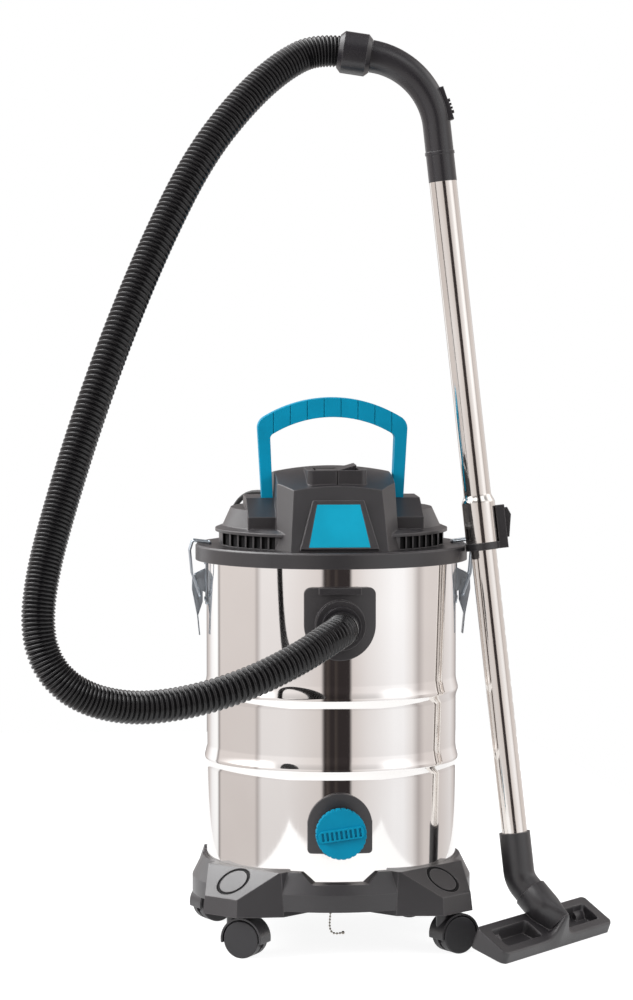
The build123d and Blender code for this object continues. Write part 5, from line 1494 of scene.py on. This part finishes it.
    def tie(self) -> bpy.types.Object:
        """Wrap a strap round the rear of the coil.

        Returns:
            The strap.
        """
        inner_y, outer_y = self.tie_reach
        low, high = self.tie_height
        middle = Vector(((inner_y + outer_y) / 2, (low + high) / 2))
        corners = [(inner_y, low), (outer_y, low), (outer_y, high), (inner_y, high)]
        left, right = self.centre[0] - self.tie_width / 2, self.centre[0] + self.tie_width / 2
        rings = []
        for y, z in softened(corners, self.tie_bend, self.tie_steps):
            out = (Vector((y, z)) - middle).normalized() * self.tie_thickness
            inner = [Vector((x, y, z)) for x in (left, right)]
            outer = [Vector((x, y + out.x, z + out.y)) for x in (right, left)]
            rings.append(inner + outer)
        shape = skin(rings, closed=True)
        return piece("tie_strap", shape, Finish.STRAP, stands_for=("cord_tie",))

    def plug(self) -> list[bpy.types.Object]:
        """Mould the plug with its ribbed relief and set its two pins.

        Returns:
            The plug and its pins.
        """
        out_x = self.centre[0] + self.outermost()
        start = Vector((out_x, self.centre[1] - self.tail, self.plug_height))
        ahead = Vector((0, -1, 0))
        profile = [(0.0, 0.0), (self.relief_bore, 0.0)]
        for k in range(self.relief_ribs):
            radius = self.relief_radius + self.relief_growth * k
            rib = self.relief_start + self.relief_pitch * k
            profile += [(radius + out, rib + along) for out, along in self.rib_outline]
        shape = lathe(profile + list(self.plug_outline), placed(start, ahead), self.plug_steps)
        made = [piece("plug_body", shape, Finish.BLACK_PLASTIC, stands_for=("mains_plug",))]
        for name, offset in (("plug_pin_left", -self.pin_spread), ("plug_pin_right", self.pin_spread)):
            place = placed(start + Vector((offset, -self.pin_seat, 0)), ahead)
            shape = lathe(list(self.pin_outline), place, self.pin_steps)
            made.append(piece(name, shape, Finish.NICKEL))
        return made

    def dress(self) -> None:
        """Finish the gland."""
        dress(Finish.BLACK_PLASTIC, "cord_gland")


class Tone(Enum):
    """Tones of the studio's cards, walls and the dark gap at the camera."""

    WHITE = "#ffffff"
    BRIGHT = "#f5f4f5"
    PALE = "#e3dfde"
    WALL = "#d3ccc9"
    DULL = "#b3acaa"
    GREY = "#8e8887"
    DARK = "#4a433f"
    BLACK = "#302b2b"


@dataclass
class Studio:
    """Camera, soft lamps, pale floor and a white surround with a dark gap at the camera."""

    eye: Point = (-0.3444, -5.0186, 0.924)
    heading: tuple[float, float] = (0.0645, 0.998)
    pitch: float = 3.7
    focal_pixels: float = 3700.0
    image_height: int = 1000
    sensor: float = 36.0
    farthest: float = 100.0
    aim: Point = (0.0, 0.0, 0.5)
    # Name, place, side and watts.
    lamps: tuple[tuple[str, Point, float, float], ...] = (
        ("key_lamp", (-3.3, -1.3, 2.0), 1.3, 140.0),
        ("fill_lamp", (2.6, -2.6, 2.0), 1.3, 34.0),
        ("top_lamp", (0.2, 0.4, 3.4), 2.0, 55.0),
    )
    floor_colour: Colour = (0.3, 0.3, 0.3, 1.0)
    floor_roughness: float = 0.9
    floor_glow: float = 0.3
    mirrored_glow: float = 0.66
    straight_glow: float = 0.6
    floor_corners: tuple[tuple[float, float], ...] = (
        (-0.88, -1.04),
        (0.88, -1.04),
        (0.5, 2.2),
        (-0.5, 2.2),
    )
    ambient: Colour = (0.55, 0.55, 0.56, 1.0)
    fade: float = 0.16
    # Left, right, lower and upper edge in degrees, and strength.
    soft_boxes: tuple[tuple[float, float, float, float, float], ...] = (
        (-150.0, -62.0, 14.0, 34.0, 2.0),
        (-155.0, -62.0, 38.0, 62.0, 7.0),
        (78.0, 125.0, 18.0, 48.0, 1.2),
        (46.0, 74.0, 10.0, 40.0, 0.5),
        (-62.0, -24.0, 48.0, 68.0, 6.0),
        (16.0, 50.0, 38.0, 58.0, 1.5),
    )
    # Strength low down and high up, and the directions' Z between which it changes.
    dim_above: tuple[float, float, float, float] = (1.14, 0.4, 0.25, 0.6)
    # Strength near the floor and over it, and the directions' Z between which it changes.
    dim_below: tuple[float, float, float, float] = (0.84, 1.0, -0.16, -0.07)
    # Angle round the vacuum from its front, in degrees, and the tone there.
    surround: tuple[tuple[float, Tone], ...] = (
        (-180.0, Tone.GREY),
        (-158.0, Tone.WALL),
        (-148.0, Tone.BRIGHT),
        (-140.0, Tone.WHITE),
        (-134.0, Tone.WHITE),
        (-131.0, Tone.GREY),
        (-127.0, Tone.WALL),
        (-79.0, Tone.WALL),
        (-76.0, Tone.DULL),
        (-71.0, Tone.PALE),
        (-45.0, Tone.PALE),
        (-13.0, Tone.WALL),
        (-10.5, Tone.BLACK),
        (-6.5, Tone.DARK),
        (-5.0, Tone.BLACK),
        (-1.0, Tone.BLACK),
        (0.5, Tone.DARK),
        (2.0, Tone.BLACK),
        (13.0, Tone.BLACK),
        (15.5, Tone.WALL),
        (30.0, Tone.PALE),
        (56.0, Tone.BRIGHT),
        (66.0, Tone.BRIGHT),
        (76.0, Tone.PALE),
        (84.0, Tone.DULL),
        (92.0, Tone.WALL),
        (116.0, Tone.WALL),
        (140.0, Tone.PALE),
        (150.0, Tone.WALL),
        (159.0, Tone.DULL),
        (180.0, Tone.GREY),
    )

    def camera(self) -> None:
        """Stand the camera where the photograph was taken from."""
        data = bpy.data.cameras.new("camera")
        data.sensor_width = self.sensor
        data.lens = self.sensor * self.focal_pixels / self.image_height
        data.clip_end = self.farthest
        made = bpy.data.objects.new("camera", data)
        bpy.context.scene.collection.objects.link(made)
        pitch = math.radians(self.pitch)
        level = math.cos(pitch)
        way = Vector((self.heading[0] * level, self.heading[1] * level, -math.sin(pitch)))
        turn = way.to_track_quat("-Z", "Y").to_matrix().to_4x4()
        made.matrix_world = Matrix.Translation(self.eye) @ turn
        bpy.context.scene.camera = made

    def lamp(self, name: str, place: Point, size: float, watts: float) -> None:
        """Hang a square soft lamp that points at the vacuum.

        Args:
            name: the lamp's name.
            place: where it hangs.
            size: its side.
            watts: its power.
        """
        data = bpy.data.lights.new(name, "AREA")
        data.size = size
        data.energy = watts
        made = bpy.data.objects.new(name, data)
        bpy.context.scene.collection.objects.link(made)
        made.location = place
        made.rotation_mode = "QUATERNION"
        made.rotation_quaternion = (Vector(self.aim) - Vector(place)).to_track_quat("-Z", "Y")
        made.visible_camera = False
        made.visible_glossy = False

    def bands(self, tree: NodeTree, azimuth: Socket, height: Socket) -> Socket:
        """Paint the surround's upright bands, dimmer high up and near the floor.

        Args:
            tree: the world's nodes.
            azimuth: the direction's angle round the vacuum, 0 at the front.
            height: the direction's Z.

        Returns:
            The bands' colour.
        """
        ramp = tree.node("ShaderNodeValToRGB")
        stops = ramp.color_ramp.elements
        while len(stops) < len(self.surround):
            stops.new(0.5)
        for stop, (angle, tone) in zip(stops, self.surround):
            stop.position = (angle + 180.0) / 360.0
            stop.color = linear(tone.value)
        tree.link(tree.ranged(azimuth, 0.0, 1.0, -math.pi, math.pi), ramp.inputs["Fac"])
        above = tree.ranged(height, *self.dim_above)
        below = tree.ranged(height, *self.dim_below)
        dimmed = tree.node("ShaderNodeVectorMath", operation="SCALE")
        tree.link(ramp.outputs["Color"], dimmed.inputs["Vector"])
        tree.link(tree.maths("MULTIPLY", above, below), dimmed.inputs["Scale"])
        return dimmed.outputs["Vector"]

    def box_share(self, tree: NodeTree, azimuth: Socket, height: Socket, edges: tuple[float, ...]) -> Socket:
        """Outline a soft box with faded edges.

        Args:
            tree: the world's nodes.
            azimuth: the direction's angle round the vacuum.
            height: the direction's Z.
            edges: the box's left, right, lower and upper edge in degrees.

        Returns:
            The box's share, 1 inside it and 0 outside.
        """
        left, right, bottom, top = (math.radians(edge) for edge in edges)
        aside = tree.maths("ABSOLUTE", tree.maths("SUBTRACT", azimuth, (left + right) / 2))
        half, low, high = (right - left) / 2, math.sin(bottom), math.sin(top)
        across = tree.ranged(aside, 1.0, 0.0, half - self.fade, half + self.fade, "SMOOTHSTEP")
        over = tree.ranged(height, 0.0, 1.0, low - self.fade, low + self.fade, "SMOOTHSTEP")
        under = tree.ranged(height, 1.0, 0.0, high - self.fade, high + self.fade, "SMOOTHSTEP")
        return tree.maths("MULTIPLY", tree.maths("MULTIPLY", across, over), under)

    def world(self) -> None:
        """White where seen straight; in gloss, pale bands with soft boxes and a dark gap at the camera."""
        world = bpy.data.worlds.new("surround")
        bpy.context.scene.world = world
        world.use_nodes = True
        tree = NodeTree(world.node_tree)
        split = tree.node("ShaderNodeSeparateXYZ")
        tree.link(tree.node("ShaderNodeTexCoord").outputs["Generated"], split.inputs["Vector"])
        height = split.outputs["Z"]
        azimuth = tree.maths("ARCTAN2", split.outputs["X"], tree.maths("MULTIPLY", split.outputs["Y"], -1.0))
        lit = self.bands(tree, azimuth, height)
        for *edges, strength in self.soft_boxes:
            share = self.box_share(tree, azimuth, height, tuple(edges))
            added = tree.node("ShaderNodeVectorMath", operation="ADD")
            tree.link(lit, added.inputs[0])
            tree.link(tree.maths("MULTIPLY", share, strength), added.inputs[1])
            lit = added.outputs["Vector"]
        rays = tree.node("ShaderNodeLightPath").outputs
        reflected = tree.tint(rays["Is Glossy Ray"], self.ambient, lit)
        straight = tree.maths("MAXIMUM", rays["Is Camera Ray"], rays["Is Transmission Ray"])
        seen = tree.tint(straight, reflected, WHITE)
        tree.link(seen, tree.tree.nodes["Background"].inputs["Color"])

    def floor(self) -> None:
        """Lay a pale floor that keeps a soft shadow."""
        mesh = bpy.data.meshes.new("studio_floor")
        mesh.from_pydata([(*corner, 0.0) for corner in self.floor_corners], [], [(0, 1, 2, 3)])
        shader = Shader("studio_floor")
        shader.plain("Base Color", self.floor_colour)
        shader.plain("Roughness", self.floor_roughness)
        shader.plain("Specular IOR Level", 0.0)
        shader.plain("Emission Color", WHITE)
        rays = shader.node("ShaderNodeLightPath").outputs
        mirrored = shader.ranged(rays["Is Glossy Ray"], self.floor_glow, self.mirrored_glow, 0.0, 1.0)
        straight = shader.ranged(rays["Is Camera Ray"], 0.0, self.straight_glow, 0.0, 1.0)
        shader.feed("Emission Strength", shader.maths("ADD", mirrored, straight))
        mesh.materials.append(shader.material)
        made = bpy.data.objects.new("studio_floor", mesh)
        bpy.context.scene.collection.objects.link(made)

    def build(self) -> None:
        """Set up the studio."""
        bpy.context.scene.view_settings.view_transform = "Standard"
        self.camera()
        self.world()
        self.floor()
        for lamp in self.lamps:
            self.lamp(*lamp)


def main() -> None:
    """Build the vacuum's pieces in order, then the studio."""
    logging.basicConfig(level=logging.INFO, format="%(name)s %(message)s")
    Drum().build()
    for assembly in (Dolly(), Head(), Inside(), Fittings(), Wand()):
        assembly.build()
        assembly.dress()
    SuctionHose().build()
    lead = MainsLead()
    lead.dress()
    lead.build()
    Studio().build()


if __name__ == "__main__":
    main()
